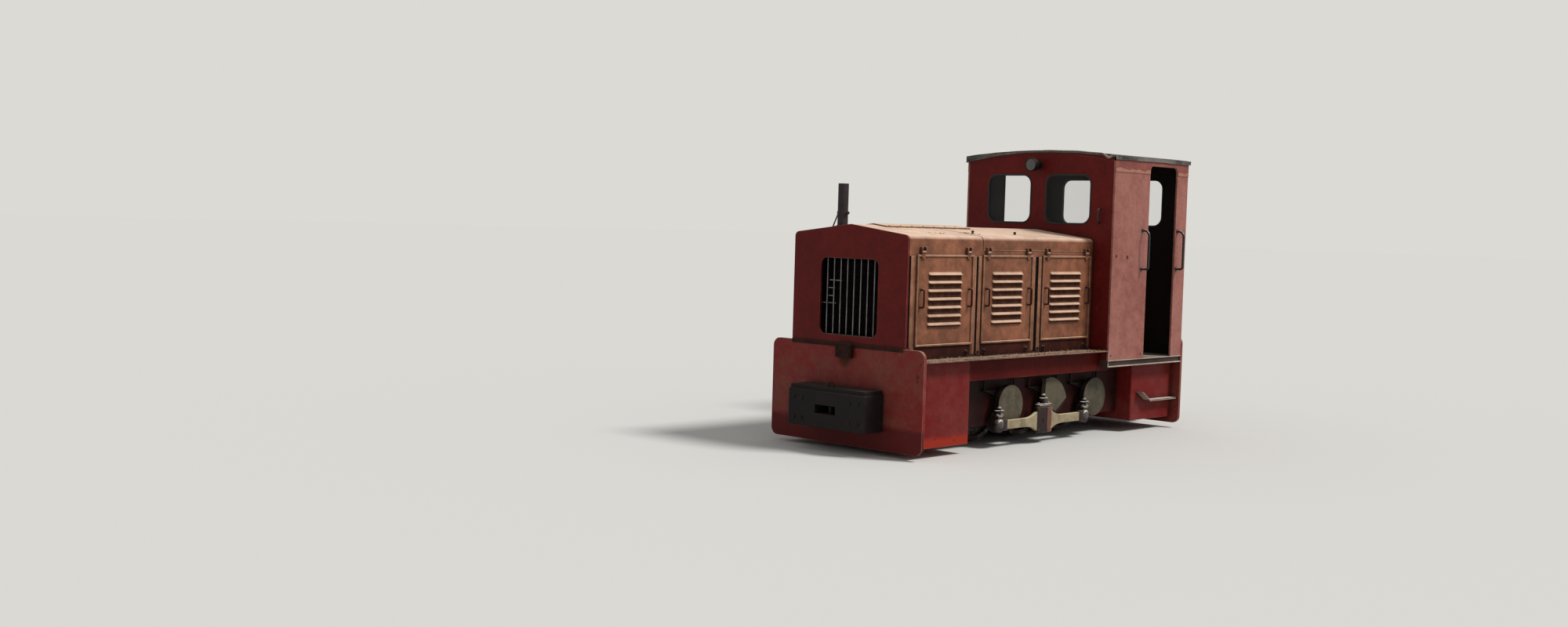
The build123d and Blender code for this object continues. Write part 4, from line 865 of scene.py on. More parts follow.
# %% Grille bars and the rods behind them
BAR_COUNT, BAR_RADIUS, ROD_RADIUS = 8, 0.0045, 0.004
GRILLE_RODS = [  # height, and both ends across
    (1.427, -0.247, -0.109),
    (1.362, -0.262, -0.185),
    (1.295, -0.262, -0.199),
    (1.233, -0.335, -0.173),
]
grille_low, grille_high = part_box("grille_bars")
bars = bmesh.new()
bar_x = grille_high.x - 0.0055
bar_pitch = (grille_high.y - grille_low.y - 0.011) / (BAR_COUNT - 1)
for i in range(BAR_COUNT):
    add_turned(bars, (bar_x, grille_low.y + 0.0055 + i * bar_pitch, grille_low.z), UP,
               [(0, BAR_RADIUS), (grille_high.z - grille_low.z, BAR_RADIUS)], steps=16)
for z, y_low, y_high in GRILLE_RODS:
    rod = [(0, ROD_RADIUS), (y_high - y_low, ROD_RADIUS)]
    add_turned(bars, (bar_x - 0.010, y_low, z), (0, 1, 0), rod, steps=12)
for z in (grille_low.z + 0.008, grille_high.z - 0.008):
    add_block(bars, (bar_x - 0.017, -0.330, z - 0.008), (bar_x - 0.0055, 0.330, z + 0.008), rounding=0.001)
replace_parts(make_piece("grille_rods", bars, "grille_grey"), "grille_bars")

# %% Bracket bolts and coupler pins
BRACKET_FACE, BRACKET_BOLT_Y, BRACKET_BOLT_Z = 2.027, (-0.068, 0.068), (0.812, 0.876)
COUPLER_TOP, COUPLER_BOLT_Y, COUPLER_BOLT_Z = 0.508, (-0.36, -0.27, 0.27, 0.36), (0.27, 0.44)
PIN_INSET, PIN_RADIUS, PIN_COLLAR = 0.075, 0.0185, 0.032
RING_RADIUS, RING_BAR = 0.028, 0.006
coupler_low, coupler_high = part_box("couplers")
bracket_bolts, pins = bmesh.new(), bmesh.new()
for y in BRACKET_BOLT_Y:
    for z in BRACKET_BOLT_Z:
        add_hexagon(bracket_bolts, (BRACKET_FACE, y, z), (1, 0, 0), 0.020, 0.010)
make_piece("bracket_bolts", bracket_bolts, "black_iron")

height = COUPLER_TOP - coupler_low.z
for way in (1, -1):
    x = way * (coupler_high.x - PIN_INSET)
    add_turned(pins, (x, 0, coupler_low.z - 0.012), UP,
               [(0, 0.012), (0.01, PIN_RADIUS), (height + 0.014, PIN_RADIUS), (height + 0.014, PIN_COLLAR),
                (height + 0.026, PIN_COLLAR), (height + 0.030, 0.026)])
    ring = [Vector((x, RING_RADIUS * math.cos(a), COUPLER_TOP + 0.05 + RING_RADIUS * math.sin(a)))
            for a in around(24)]
    add_bar(pins, ring, RING_BAR, closed=True)
    for y in COUPLER_BOLT_Y:
        for z in COUPLER_BOLT_Z:
            add_hexagon(pins, (way * coupler_high.x - way * 0.001, y, z), (way, 0, 0), 0.030, 0.009)
make_piece("coupler_pins_and_bolts", pins, "coupler_iron")

# %% [markdown]
# ## Frames, boxes and steps
# Where the upright corner of a ballast box meets the valance the two are welded flush, so a small filler
# closes the joint. Rivets hold the valance's hanging angle. The steps are bent plate.

# %% Weld filler and rivets
RIVET_COUNT = 12
valance_low, valance_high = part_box("valances")
fillers, rivets = bmesh.new(), bmesh.new()
for side in SIDES.values():
    outer = side * valance_high.y
    add_block(fillers, (valance_high.x - 0.010, outer - side * 0.016, valance_low.z),
              (valance_high.x + 0.016, outer + side * 0.0004, valance_high.z - 0.001))
    add_block(fillers, (valance_low.x - 0.150, outer - side * 0.009, valance_low.z),
              (valance_low.x + 0.002, outer - side * 0.0002, valance_high.z - 0.001))
    for i in range(RIVET_COUNT):
        x = valance_low.x + 0.09 + i * (valance_high.x - valance_low.x - 0.16) / (RIVET_COUNT - 1)
        add_rivet(rivets, (x, outer - side * 0.0005, valance_high.z - 0.022), (0, side, 0), 0.008)
make_piece("valance_ends_and_fillers", fillers, "valance_red")
make_piece("valance_rivets", rivets, "valance_red")

# %% Bent step plates
STEP_LINE = [(-1.335, 0.386), (-1.352, 0.380), (-1.462, 0.312), (-1.480, 0.306), (-1.940, 0.303)]
STEP_THICKNESS = 0.007
STEP_INNER, STEP_OUTER = 0.7545, 0.829
steps = bmesh.new()
outline = STEP_LINE + [(x, z - STEP_THICKNESS) for x, z in reversed(STEP_LINE)]
for side in SIDES.values():
    add_slab(steps, [(x, side * STEP_INNER, z) for x, z in outline], (0, side * (STEP_OUTER - STEP_INNER), 0))
    add_block(steps, (-1.940, side * 0.824, 0.290), (-1.470, side * STEP_OUTER, 0.304), rounding=0.001)
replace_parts(make_piece("bent_step_plates", steps, "lip_grey"), "cab_steps")

# %% [markdown]
# ## Counterweights, rods and bearings
# The counterweights are plates bolted to the cranks, painted grey where the cranks are black with oil.
# On each rod the bearings carry strap plates, studs with nuts, and turned oil cups with a ball on
# top. Those are lathe work, so each is a profile turned about its axis.

# %% Counterweight faces
AXLES = {"front": 0.650, "middle": 0.0, "rear": -0.650}
AXLE_HEIGHT = 0.315
CRANK_FACE, CRANK_THROW, CRANK_ANGLE = 0.693, 0.171, {"left": -40, "right": 50}
DISC_OFFSET, DISC_RADIUS = 0.083, 0.1755
PADDLE_RADIUS, PADDLE_SWING, PADDLE_LEAD = 0.266, math.radians(44), math.radians(20)
PADDLE_ROOT, PADDLE_ROOT_SWING = 0.10, math.radians(87.5)
FACE_THICKNESS, PADDLE_DEPTH = 0.0035, 0.040
HUB_CAP = [(0, 0.058), (0.0022, 0.056), (0.0023, 0.02), (0.001, 0.001)]


def weight_outline(place, angle):
    """Points of a counterweight's face in X and Z about its axle."""
    if place != "middle":
        out = Vector((math.cos(angle), math.sin(angle)))
        across = Vector((-out.y, out.x))
        return [out * (DISC_OFFSET + DISC_RADIUS * math.cos(a)) + across * DISC_RADIUS * math.sin(a)
                for a in around(72)]
    middle = angle - PADDLE_LEAD
    arc = [(PADDLE_RADIUS, middle + PADDLE_SWING * (k / 14 - 1)) for k in range(29)]
    corners = [(PADDLE_ROOT, middle - PADDLE_ROOT_SWING), *arc, (PADDLE_ROOT, middle + PADDLE_ROOT_SWING)]
    return [Vector((radius * math.cos(a), radius * math.sin(a))) for radius, a in corners]


for place, axle_x in AXLES.items():
    plates = bmesh.new()
    for side_name, side in SIDES.items():
        outline = [(axle_x + p.x, side * (CRANK_FACE - 0.001), AXLE_HEIGHT + p.y)
                   for p in weight_outline(place, math.radians(CRANK_ANGLE[side_name] + 180))]
        add_slab(plates, outline, (0, side * FACE_THICKNESS, 0))
        if place == "middle":
            inner = [(x, side * (CRANK_FACE - PADDLE_DEPTH), z) for x, y, z in outline]
            add_slab(plates, inner, (0, side * (PADDLE_DEPTH - 0.0005), 0))
        hub = (axle_x, side * (CRANK_FACE + 0.002), AXLE_HEIGHT)
        add_turned(plates, hub, (0, side, 0), HUB_CAP, steps=32)
    make_piece(f"{place}_counterweight_faces", plates, "weight_grey", f"{place}_wheelset")

# %% Rods, and their bearings with straps and oil cups
ROD_INNER, ROD_OUTER = 0.700, 0.738
ROD_MIDDLE = (ROD_INNER + ROD_OUTER) / 2
ROD_HALF, ROD_FLARE, ROD_FLARE_LENGTH = 0.039, 0.049, 0.20
END_RADIUS, END_LENGTH = 0.062, 0.104
MIDDLE_HALF, MIDDLE_DROP, MIDDLE_RISE = 0.110, 0.108, 0.128
END_BLOCK = [(0, 0.056), (0.006, END_RADIUS), (0.032, END_RADIUS), (0.038, 0.054)]
END_DISC = [(0, 0.044), (0.004, 0.042), (0.009, 0.033), (0.012, 0.020), (0.0130, 0.002)]
CUP_RADIUS = 0.0165
CUP_BALL = [(0, 0.0185), (0.003, 0.0185), (0.005, 0.010), (0.008, 0.011), (0.012, 0.009), (0.0138, 0.003)]
END_STACK = {"block_top": 0.062, "strap": (0.082, 0.042), "disc": (0.124, 0.050), "cap": 0.150}
MIDDLE_STACK = {"block_top": 0.128, "strap": (0.142, 0.104), "disc": (0.196, 0.045), "cap": 0.226}


def add_rod(shape, side, pin_x, pin_z):
    """The rod, its edges chamfered: slim between the bearings, flaring sharply into the middle block."""
    halves = []
    for k in range(61):
        x = pin_x - AXLES["front"] + 0.05 + k * (2 * AXLES["front"] - 0.10) / 60
        away = max(abs(x - pin_x) - MIDDLE_HALF, 0.0)
        halves.append((x, ROD_HALF + ROD_FLARE * max(1 - away / ROD_FLARE_LENGTH, 0.0) ** 3))
    add_rings(shape, [[(x, side * y, pin_z + half - shrink) for x, half in halves]
                      + [(x, side * y, pin_z - half + shrink) for x, half in reversed(halves)]
                      for y, shrink in ((ROD_INNER + 0.002, 0.003), (ROD_INNER + 0.005, 0.0),
                                        (ROD_OUTER - 0.007, 0.0), (ROD_OUTER - 0.004, 0.003))])


def add_oil_stack(iron, bright, side, x, z, stack):
    """Strap plate, studs with nuts, flanged cup and ball-topped cap above one bearing."""
    strap_z, strap_half = stack["strap"]
    disc_z, disc_half = stack["disc"]
    y, y0, y1 = side * ROD_MIDDLE, side * (ROD_INNER + 0.003), side * (ROD_OUTER - 0.001)
    stud = strap_half * 0.72
    for half, low, high in ((strap_half, 0, 0.008), (stud, -0.012, -0.003)):
        add_block(bright, (x - half, y0, z + strap_z + low), (x + half, y1, z + strap_z + high),
                  rounding=0.003)
    for offset in (-stud, stud):
        add_hexagon(bright, (x + offset, y, z + strap_z + 0.008), UP, 0.019, 0.011)
    rise = disc_z - stack["block_top"] + 0.004
    add_turned(iron, (x, y, z + stack["block_top"] - 0.004), UP,
               [(0, 0.017), (rise * 0.4, 0.015), (rise, 0.0175)], steps=20)
    across = min(disc_half, 0.0185)
    add_block(bright, (x - disc_half, y - across, z + disc_z),
              (x + disc_half, y + across, z + disc_z + 0.008), rounding=0.0035)
    add_turned(iron, (x, y, z + disc_z + 0.008), UP,
               [(0, CUP_RADIUS), (stack["cap"] - disc_z - 0.008, CUP_RADIUS)], steps=20)
    add_turned(bright, (x, y, z + stack["cap"]), UP, CUP_BALL, steps=20)


def dress_rod(side_name, side):
    """One coupling rod with its three bearings."""
    angle = math.radians(CRANK_ANGLE[side_name])
    pin_x, pin_z = CRANK_THROW * math.cos(angle), AXLE_HEIGHT + CRANK_THROW * math.sin(angle)
    iron, bright, red, rod = (bmesh.new() for _ in range(4))
    outward, face = (0, side, 0), side * (ROD_OUTER - 0.001)
    add_rod(rod, side, pin_x, pin_z)
    for place, axle_x in AXLES.items():
        x = axle_x + pin_x
        if place == "middle":
            add_block(iron, (x - MIDDLE_HALF, side * ROD_INNER, pin_z - MIDDLE_DROP),
                      (x + MIDDLE_HALF, side * ROD_OUTER, pin_z + MIDDLE_RISE), rounding=0.007)
            ridge, foot = x - 0.030, pin_z - 0.103
            # The rear facet takes the reddish finish, painted sunlight on flaking enamel; the front facet is
            # the block's dark iron.
            for shape, reach in ((iron, 0.095), (red, -0.078)):
                add_slab(shape, [(ridge, face, foot), (ridge, side * (ROD_OUTER + 0.012), foot),
                                 (ridge + reach, face, foot)], (0, 0, 0.222))
            for dz in (-0.080, 0.100):
                add_hexagon(iron, (x + 0.088, face, pin_z + dz), outward, 0.022, 0.006)
            add_oil_stack(iron, bright, side, x, pin_z, MIDDLE_STACK)
        else:
            inward = -1 if place == "front" else 1
            add_turned(iron, (x, side * ROD_INNER, pin_z), outward, END_BLOCK, steps=48)
            add_block(iron, (x, side * (ROD_INNER + 0.001), pin_z - 0.05),
                      (x + inward * END_LENGTH, face, pin_z + 0.05), rounding=0.006)
            add_oil_stack(iron, bright, side, x, pin_z, END_STACK)
            add_turned(bright, (x, face, pin_z + 0.008), outward, END_DISC, steps=32)
    body = f"{side_name}_rod"
    bearings = make_piece(f"{side_name}_bearing_blocks", iron, "bearing_iron", body)
    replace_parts(bearings, f"{side_name}_rod_bearings")
    make_piece(f"{side_name}_bearing_straps", bright, "strap_steel", body)
    make_piece(f"{side_name}_bearing_cheeks", red, "bearing_red", body)
    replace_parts(make_piece(f"{side_name}_fluted_rod", rod, "rod_cream", body), f"{side_name}_coupling_rod")


for side_name, side in SIDES.items():
    dress_rod(side_name, side)

# %% Spring buckles and hangers
SPRING_Y, SPRING_TOP, SPRING_HALF = 0.608, 0.503, 0.230
BUCKLE_HALF, BUCKLE_FOOT = 0.022, 0.442
HANGER_HALF, HANGER_RADIUS = 0.020, 0.009
springs = bmesh.new()
for side in SIDES.values():
    for axle_x in AXLES.values():
        add_block(springs, (axle_x - BUCKLE_HALF, side * 0.589, BUCKLE_FOOT),
                  (axle_x + BUCKLE_HALF, side * 0.632, SPRING_TOP + 0.007), rounding=0.003)
        add_hexagon(springs, (axle_x, side * SPRING_Y, SPRING_TOP + 0.007), UP, 0.026, 0.014)
        for end in (-1, 1):
            x = axle_x + end * (SPRING_HALF - 0.018)
            add_turned(springs, (x, side * SPRING_Y, SPRING_TOP - 0.012), UP,
                       [(0, HANGER_RADIUS), (0.13, HANGER_RADIUS)], steps=12)
            add_hexagon(springs, (x, side * SPRING_Y, SPRING_TOP), UP, 0.028, 0.014)
            add_block(springs, (x - HANGER_HALF, side * 0.589, SPRING_TOP + 0.112),
                      (x + HANGER_HALF, side * 0.626, SPRING_TOP + 0.13), rounding=0.003)
make_piece("spring_buckles_and_hangers", springs, "black_iron")

# %% [markdown]
# ## The cab's skin
# The side sheets are patched along the top with a strip whose paint has peeled to the primer at its
# lower edge. The peeled edge is a ribbon whose top follows noise, laid a hair proud of the sheet. The
# roof is thin sheet with a flatter arch than the imported one, so it is rebuilt: an arched form a few
# millimetres thick, wavy along its overhang and bent down at one front corner, over an inner deck in
# matt black, which is painted shade under the roof. Its front edge hangs deeper towards the right as a
# dark band of painted shade, and a light rim on its left half is painted highlight.

# %% Top bands, peeled edge and base channel
CAB_SIDE = 0.850
BAND_LOW, BAND_HIGH, BAND_PROUD = 2.453, 2.600, 0.0035
DOORWAY, DOORWAY_TOP, DOORWAY_CORNER = (-1.762, -1.277), 2.530, 0.045
CAB_RIVETS = [(-0.748, 1.686), (-0.933, 1.680), (-0.72, 0.76), (-1.22, 0.76)]
cab_low, cab_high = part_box("cab_left_wall")


def dress_cab_side(side_name, side):
    """Patched top band with its peeled lower edge, the light edges of the base, and a few rivets."""
    band, ribbon, base, screws = (bmesh.new() for _ in range(4))
    rear, front = cab_low.x + 0.001, cab_high.x - 0.001
    outline = [(front, BAND_LOW), (front, BAND_HIGH), (rear, BAND_HIGH), (rear, BAND_LOW),
               (DOORWAY[0] - 0.004, BAND_LOW)]
    for x, start in ((DOORWAY[0] + DOORWAY_CORNER, math.pi), (DOORWAY[1] - DOORWAY_CORNER, math.pi / 2)):
        for k in range(7):
            a = start - k * math.pi / 12
            outline.append((x + math.cos(a) * (DOORWAY_CORNER + 0.004),
                            DOORWAY_TOP - DOORWAY_CORNER + math.sin(a) * (DOORWAY_CORNER + 0.004)))
    outline.append((DOORWAY[1] + 0.004, BAND_LOW))
    add_slab(band, [(x, side * (CAB_SIDE - 0.0005), z) for x, z in outline], (0, side * BAND_PROUD, 0))
    for x_start, x_end in ((cab_low.x + 0.002, DOORWAY[0] - 0.006), (DOORWAY[1] + 0.006, cab_high.x - 0.002)):
        steps = int((x_end - x_start) / 0.006)
        columns = []
        for i in range(steps + 1):
            x = x_start + (x_end - x_start) * i / steps
            slow = noise.noise(Vector((x * 14, side * 3.0, 0.7)))
            quick = noise.noise(Vector((x * 80, 0, side)))
            top = 0.006 + max(0.026 + 0.020 * slow + 0.010 * quick, 0.001)
            columns.append([(x, side * (CAB_SIDE + BAND_PROUD + out), BAND_LOW + up)
                            for out, up in ((0.0002, 0.001), (0.0014, 0.003), (0.0002, top))])
        add_sheet(ribbon, columns)
    low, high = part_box("cab_floor")
    for z0, z1, proud in ((low.z, low.z + 0.010, 0.006), (high.z - 0.006, high.z + 0.002, 0.003)):
        add_block(base, (low.x, side * (CAB_SIDE - 0.002), z0), (high.x, side * (CAB_SIDE + proud), z1),
                  rounding=0.0015)
    add_block(base, (high.x - 0.003, side * (CAB_SIDE - 0.006), low.z),
              (high.x + 0.003, side * (CAB_SIDE + 0.003), high.z + 0.085), rounding=0.001)
    make_piece(f"{side_name}_cab_band", band, "band_red")
    make_piece(f"{side_name}_peeled_edge", ribbon, "peeled_cream")
    make_piece(f"{side_name}_base_edges", base, "lip_grey")
    for x, z in CAB_RIVETS:
        add_rivet(screws, (x, side * (CAB_SIDE - 0.0005), z), (0, side, 0), 0.008)
    make_piece(f"{side_name}_cab_rivets", screws, "sill_brown")


for side_name, side in SIDES.items():
    dress_cab_side(side_name, side)

# %% Cab roof sheet
ROOF_REACH, ROOF_CROWN, ROOF_EAVES = 0.866, 2.6575, 2.606
ROOF_RADIUS = (ROOF_REACH ** 2 + (ROOF_CROWN - ROOF_EAVES) ** 2) / (2 * (ROOF_CROWN - ROOF_EAVES))
DECK_RADIUS = 4.305
ROOF_ENDS = (-1.971, -0.665)
SHEET, LIP, LIP_SHEET, END_LIP = 0.004, 0.035, 0.004, 0.018
RIM_BAR = 0.0035
BARE_PATCH = [(0.735, 0.001), (0.762, 0.001), (0.790, 0.001), (0.812, 0.001), (0.800, 0.020), (0.770, 0.012)]


def arch_at(y, radius=ROOF_RADIUS):
    """Height of an arch with the roof's crown at a distance from the centreline."""
    return ROOF_CROWN - radius + math.sqrt(radius ** 2 - y * y)


def sheet_sag(x, y):
    """How far the thin sheet hangs below its arch: waves at its edges, and one bent corner."""
    overhang = max(abs(y) - 0.80, 0) / 0.066 + max(x + 0.70, -1.93 - x, 0) / 0.04
    wave = 0.004 * min(overhang, 1.0) * noise.noise(Vector((x * 6, y * 6, 2.5)))
    bent = max(1 - abs(y - 0.774) / 0.055, 0.0) * min(max((x + 0.700) / 0.035, 0.0), 1.0)
    return wave + 0.026 * bent ** 0.8


def sheet_at(x, y, below=0.0):
    """A point on the roof sheet, or a little below it."""
    return Vector((x, y, arch_at(y) - sheet_sag(x, y) - below))


def front_lip(y):
    """Depth of the folded front edge: the usual depth on the left, hanging deeper towards the right as a dark
    band of painted shade.
    """
    return END_LIP + 0.045 * (max(-y, 0.0) / ROOF_REACH) ** 2


def spread(half, steps):
    """Numbers shared out evenly from -half to half."""
    return [half * (2 * k / steps - 1) for k in range(steps + 1)]


roof, edges, rim = bmesh.new(), bmesh.new(), bmesh.new()
across = spread(ROOF_REACH, 96)
along = [ROOF_ENDS[0] + 0.0235 * i for i in range(54)] + [-0.712, -0.700, -0.690, -0.680, -0.672, -0.665]
add_rings(roof, [[sheet_at(x, y) for y in across] + [sheet_at(x, y, SHEET) for y in reversed(across)]
                 for x in along])
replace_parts(make_piece("roof_sheet", roof, "roof_black"), "cab_roof")
for x, back in ((ROOF_ENDS[1], -LIP_SHEET), (ROOF_ENDS[0], LIP_SHEET)):
    loops = []
    for y in across:
        top = sheet_at(x, y, 0.001).z
        low = top - (front_lip(y) if back < 0 else END_LIP)
        loops.append([(x, y, top), (x, y, low), (x + back, y, low), (x + back, y, top)])
    add_rings(edges, loops)
for side in SIDES.values():
    loops = []
    for x in along:
        top = ROOF_EAVES - sheet_sag(x, side * ROOF_REACH) - 0.001
        low = top - LIP + 0.005 * noise.noise(Vector((x * 5, side, 1.7)))
        out = side * (ROOF_REACH - 0.001 + 0.002 * noise.noise(Vector((x * 9, side, 4.1))))
        inner = out - side * LIP_SHEET
        loops.append([(x, out, top), (x, out, low), (x, inner, low), (x, inner, top)])
    add_rings(edges, loops)
make_piece("roof_edges", edges, "roof_edge_grey")
# The light rim runs along the left half of the front edge only: painted highlight where that half catches the
# light, while the right half keeps the dark coating.
add_bar(rim, [sheet_at(ROOF_ENDS[1], y) for y in across if 0.05 < y], RIM_BAR, steps=8)
add_slab(rim, [sheet_at(ROOF_ENDS[1], y, below) + Vector((0.0005, 0, 0)) for y, below in BARE_PATCH],
         (0.0015, 0, 0))
make_piece("roof_rim_with_painted_highlight", rim, "lip_grey")

# %% Roof deck and wall tops
WALL_FACES, WALL = (-0.681, -1.935), 0.020
deck, wall_tops = bmesh.new(), bmesh.new()


def under_roof(half, drop):
    """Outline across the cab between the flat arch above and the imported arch, lowered by drop, below."""
    arc = spread(half, 48)
    return ([(y, arch_at(y) - 0.005) for y in arc]
            + [(y, arch_at(y, DECK_RADIUS) - drop) for y in reversed(arc)])


# The deck is matt black: painted shade under the roof.
add_slab(deck, [(-1.936, y, z) for y, z in under_roof(0.848, 0.0175)], (1.936 - 0.700, 0, 0))
make_piece("roof_deck", deck, "joint_and_shade_black")
for face in WALL_FACES:
    add_slab(wall_tops, [(face + 0.0005, y, z) for y, z in under_roof(0.8295, 0.030)], (-WALL - 0.001, 0, 0))
make_piece("wall_tops", wall_tops, "front_red")

# %% Window corners and seals
window_low, window_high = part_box("cab_windows")
PANES = ((0.085, 0.590), (-0.590, -0.085))
WINDOW_CORNER, WINDOW_INSIDE_CORNER = 0.062, 0.093
CORNER_STEPS = 9
SEAL_SECTION = [(-0.006, 0.0), (-0.006, 0.003), (-0.002, 0.005), (0.006, 0.004), (0.010, 0.0),
                (0.010, -0.008)]


def rounded_ring(x, y0, y1, z0, z1, radius):
    """Points of a rounded rectangle in the plane across the cab."""
    points = []
    for cy, cz, start in ((y1 - radius, z1 - radius, 0), (y0 + radius, z1 - radius, 90),
                          (y0 + radius, z0 + radius, 180), (y1 - radius, z0 + radius, 270)):
        for k in range(CORNER_STEPS):
            a = math.radians(start + k * 90 / (CORNER_STEPS - 1))
            points.append(Vector((x, cy + radius * math.cos(a), cz + radius * math.sin(a))))
    return points


def window_ring(x, pane, inset, radius):
    """The outline of a window, moved inwards by inset."""
    low, high = window_low.z + inset, window_high.z - inset
    return rounded_ring(x, pane[0] + inset, pane[1] - inset, low, high, radius)


corners, seals = bmesh.new(), bmesh.new()
for face in WALL_FACES:
    for pane in PANES:
        inner = window_ring(face - 0.0002, pane, 0, WINDOW_INSIDE_CORNER)
        outer = window_ring(face - 0.0002, pane, -0.003, WINDOW_CORNER)
        for k in range(0, 4 * CORNER_STEPS, CORNER_STEPS):
            outline = inner[k:k + CORNER_STEPS] + outer[k:k + CORNER_STEPS][::-1]
            add_slab(corners, outline, (0.0004 - WALL, 0, 0))
make_piece("window_corner_plates", corners, "front_red")
for face, way in [(face - WALL * inner, 1 - 2 * inner) for face in WALL_FACES for inner in (0, 1)]:
    for pane in PANES:
        add_rings(seals, [window_ring(face + way * lift, pane, inset, max(WINDOW_INSIDE_CORNER - inset, 0.01))
                          for inset, lift in SEAL_SECTION], capped=False)
make_piece("window_seals", seals, "window_rubber")

# %% [markdown]
# ## Handrails, lamps and small irons
# The handrails are one bar each, bent round at the top and stubbed into the sheet below, on small
# flanges. The headlights are spun bowls with a rolled rim and a cloudy lens. Replacing their plain solids
# with turned and bent meshes gives the highlights that a polygon can't.

# %% Handrails
RAIL_LOW, RAIL_HIGH = 1.562, 1.925
RAIL_X, RAIL_REACH, RAIL_BAR = (-1.180, -1.800), 0.072, 0.0112
RAIL_FLANGE = [(0, 0.023), (0.004, 0.023), (0.006, 0.020), (0.006, 0.012)]
GRIP_PATH = [(-0.682, 0.700, 2.112), (-0.640, 0.703, 2.112), (-0.640, 0.703, 1.982), (-0.682, 0.700, 1.982)]
GRIP_BAR = 0.007
rails, handle = bmesh.new(), bmesh.new()
for side in SIDES.values():
    for x in RAIL_X:
        wall, reach = side * CAB_SIDE, side * (CAB_SIDE + RAIL_REACH)
        lower = bend([(x, wall, RAIL_LOW), (x, reach, RAIL_LOW), (x, reach, RAIL_LOW + 0.2)], 0.022)
        upper = bend([(x, reach, RAIL_LOW + 0.21), (x, reach, RAIL_HIGH), (x, wall, RAIL_HIGH)], 0.066, 14)
        add_bar(rails, lower[:-1] + upper, RAIL_BAR, steps=16)
        for z in (RAIL_LOW, RAIL_HIGH):
            add_turned(rails, (x, side * (CAB_SIDE - 0.001), z), (0, side, 0), RAIL_FLANGE)
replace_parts(make_piece("bent_handrails", rails, "rail_black"), "cab_handrails")
add_bar(handle, bend(GRIP_PATH, 0.035, 10), GRIP_BAR)
make_piece("front_wall_handle", handle, "rail_black")

# %% Headlights
LAMP_HEIGHT = 2.515
LAMP_BODY = [(0, 0.040), (0.004, 0.040), (0.008, 0.034), (0.030, 0.035), (0.052, 0.044), (0.075, 0.055),
             (0.100, 0.0605), (0.128, 0.0615), (0.130, 0.0640), (0.143, 0.0640), (0.146, 0.0620),
             (0.146, 0.0575), (0.138, 0.0570)]
LAMP_LENS = [(0.139, 0.0572), (0.1425, 0.0540), (0.1450, 0.0400), (0.1460, 0.0200), (0.1462, 0.0020)]
bodies, lenses = bmesh.new(), bmesh.new()
for face, way in ((WALL_FACES[0], 1), (WALL_FACES[1] - WALL, -1)):
    for shape, profile in ((bodies, LAMP_BODY), (lenses, LAMP_LENS)):
        add_turned(shape, (face, 0, LAMP_HEIGHT), (way, 0, 0), profile, steps=48)
    add_hexagon(bodies, (face + way * 0.090, 0, LAMP_HEIGHT + 0.056), UP, 0.014, 0.008)
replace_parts(make_piece("headlight_bowls", bodies, "black_iron"), "headlights")
make_piece("headlight_lenses", lenses, "lens_glass")

# %% [markdown]
# ## Inside the cab
# Through the doorway and the windows one sees the desk, its dials and levers, a spoked handwheel and
# the driver's seat. The wheel is a bar bent into a ring with four spokes; dials are turned bezels with
# a pale face and a needle, with no words on them.

# %% Control desk, dials and handwheel
DESK_TOP, DIAL_HEIGHT = 1.620, 1.47
PANELS = (-0.205, 0.0, 0.205)
DIALS = ((-0.22, 0.05), (-0.09, 0.05), (0.03, 0.038))  # place across and radius
LEVERS = ((-0.13, 0.10), (-0.02, -0.06))  # place across and lean
PANEL_KNOB = [(0, 0.006), (0.014, 0.006), (0.017, 0.012), (0.026, 0.010), (0.027, 0.003)]
LEVER_X, LEVER_BAR = -0.80, 0.006
LEVER_KNOB = [(0, 0.004), (0.004, 0.012), (0.012, 0.016), (0.020, 0.012), (0.025, 0.003)]
WHEEL_PLACE, WHEEL_RADIUS, WHEEL_BAR, SPOKE_BAR = Vector((-0.796, 0.240, 1.748)), 0.076, 0.0078, 0.0052
WHEEL_COLUMN = [(0, 0.030), (0.008, 0.028), (0.012, 0.014), (0.110, 0.012), (0.112, 0.018), (0.130, 0.018),
                (0.134, 0.010)]
desk_low, desk_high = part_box("control_desk")
cabinet, trim, faces = bmesh.new(), bmesh.new(), bmesh.new()
back, face = (-1, 0, 0), desk_low.x
add_block(cabinet, desk_low, (desk_high.x, desk_high.y, DESK_TOP), rounding=0.008)
for y in PANELS:
    add_block(cabinet, (face - 0.006, y - 0.094, 0.80), (face + 0.001, y + 0.094, 1.30), rounding=0.003)
    add_turned(trim, (face - 0.004, y + 0.07, 1.05), back, PANEL_KNOB, steps=16)
for y, radius in DIALS:
    bezel = [(0, radius + 0.008), (0.014, radius + 0.008), (0.018, radius + 0.003), (0.018, radius),
             (0.012, radius)]
    add_turned(trim, (face + 0.001, y, DIAL_HEIGHT), back, bezel, steps=32)
    add_turned(faces, (face - 0.0115, y, DIAL_HEIGHT), back, [(0, radius), (0.001, radius)], steps=32)
    add_block(trim, (face - 0.0155, y - 0.0015, DIAL_HEIGHT - 0.005),
              (face - 0.0135, y + 0.0015, DIAL_HEIGHT + radius * 0.75))
for y, lean in LEVERS:
    knob = Vector((LEVER_X - lean, y, DESK_TOP + 0.13))
    stem = bend([(LEVER_X, y, DESK_TOP - 0.01), (LEVER_X, y, DESK_TOP + 0.05), knob], 0.02)
    add_bar(trim, stem, LEVER_BAR)
    add_turned(trim, knob - Vector((0, 0, 0.012)), UP, LEVER_KNOB, steps=16)
ring = [WHEEL_PLACE + Vector((WHEEL_RADIUS * math.cos(a), WHEEL_RADIUS * math.sin(a), 0)) for a in around(48)]
add_bar(trim, ring, WHEEL_BAR, steps=16, closed=True)
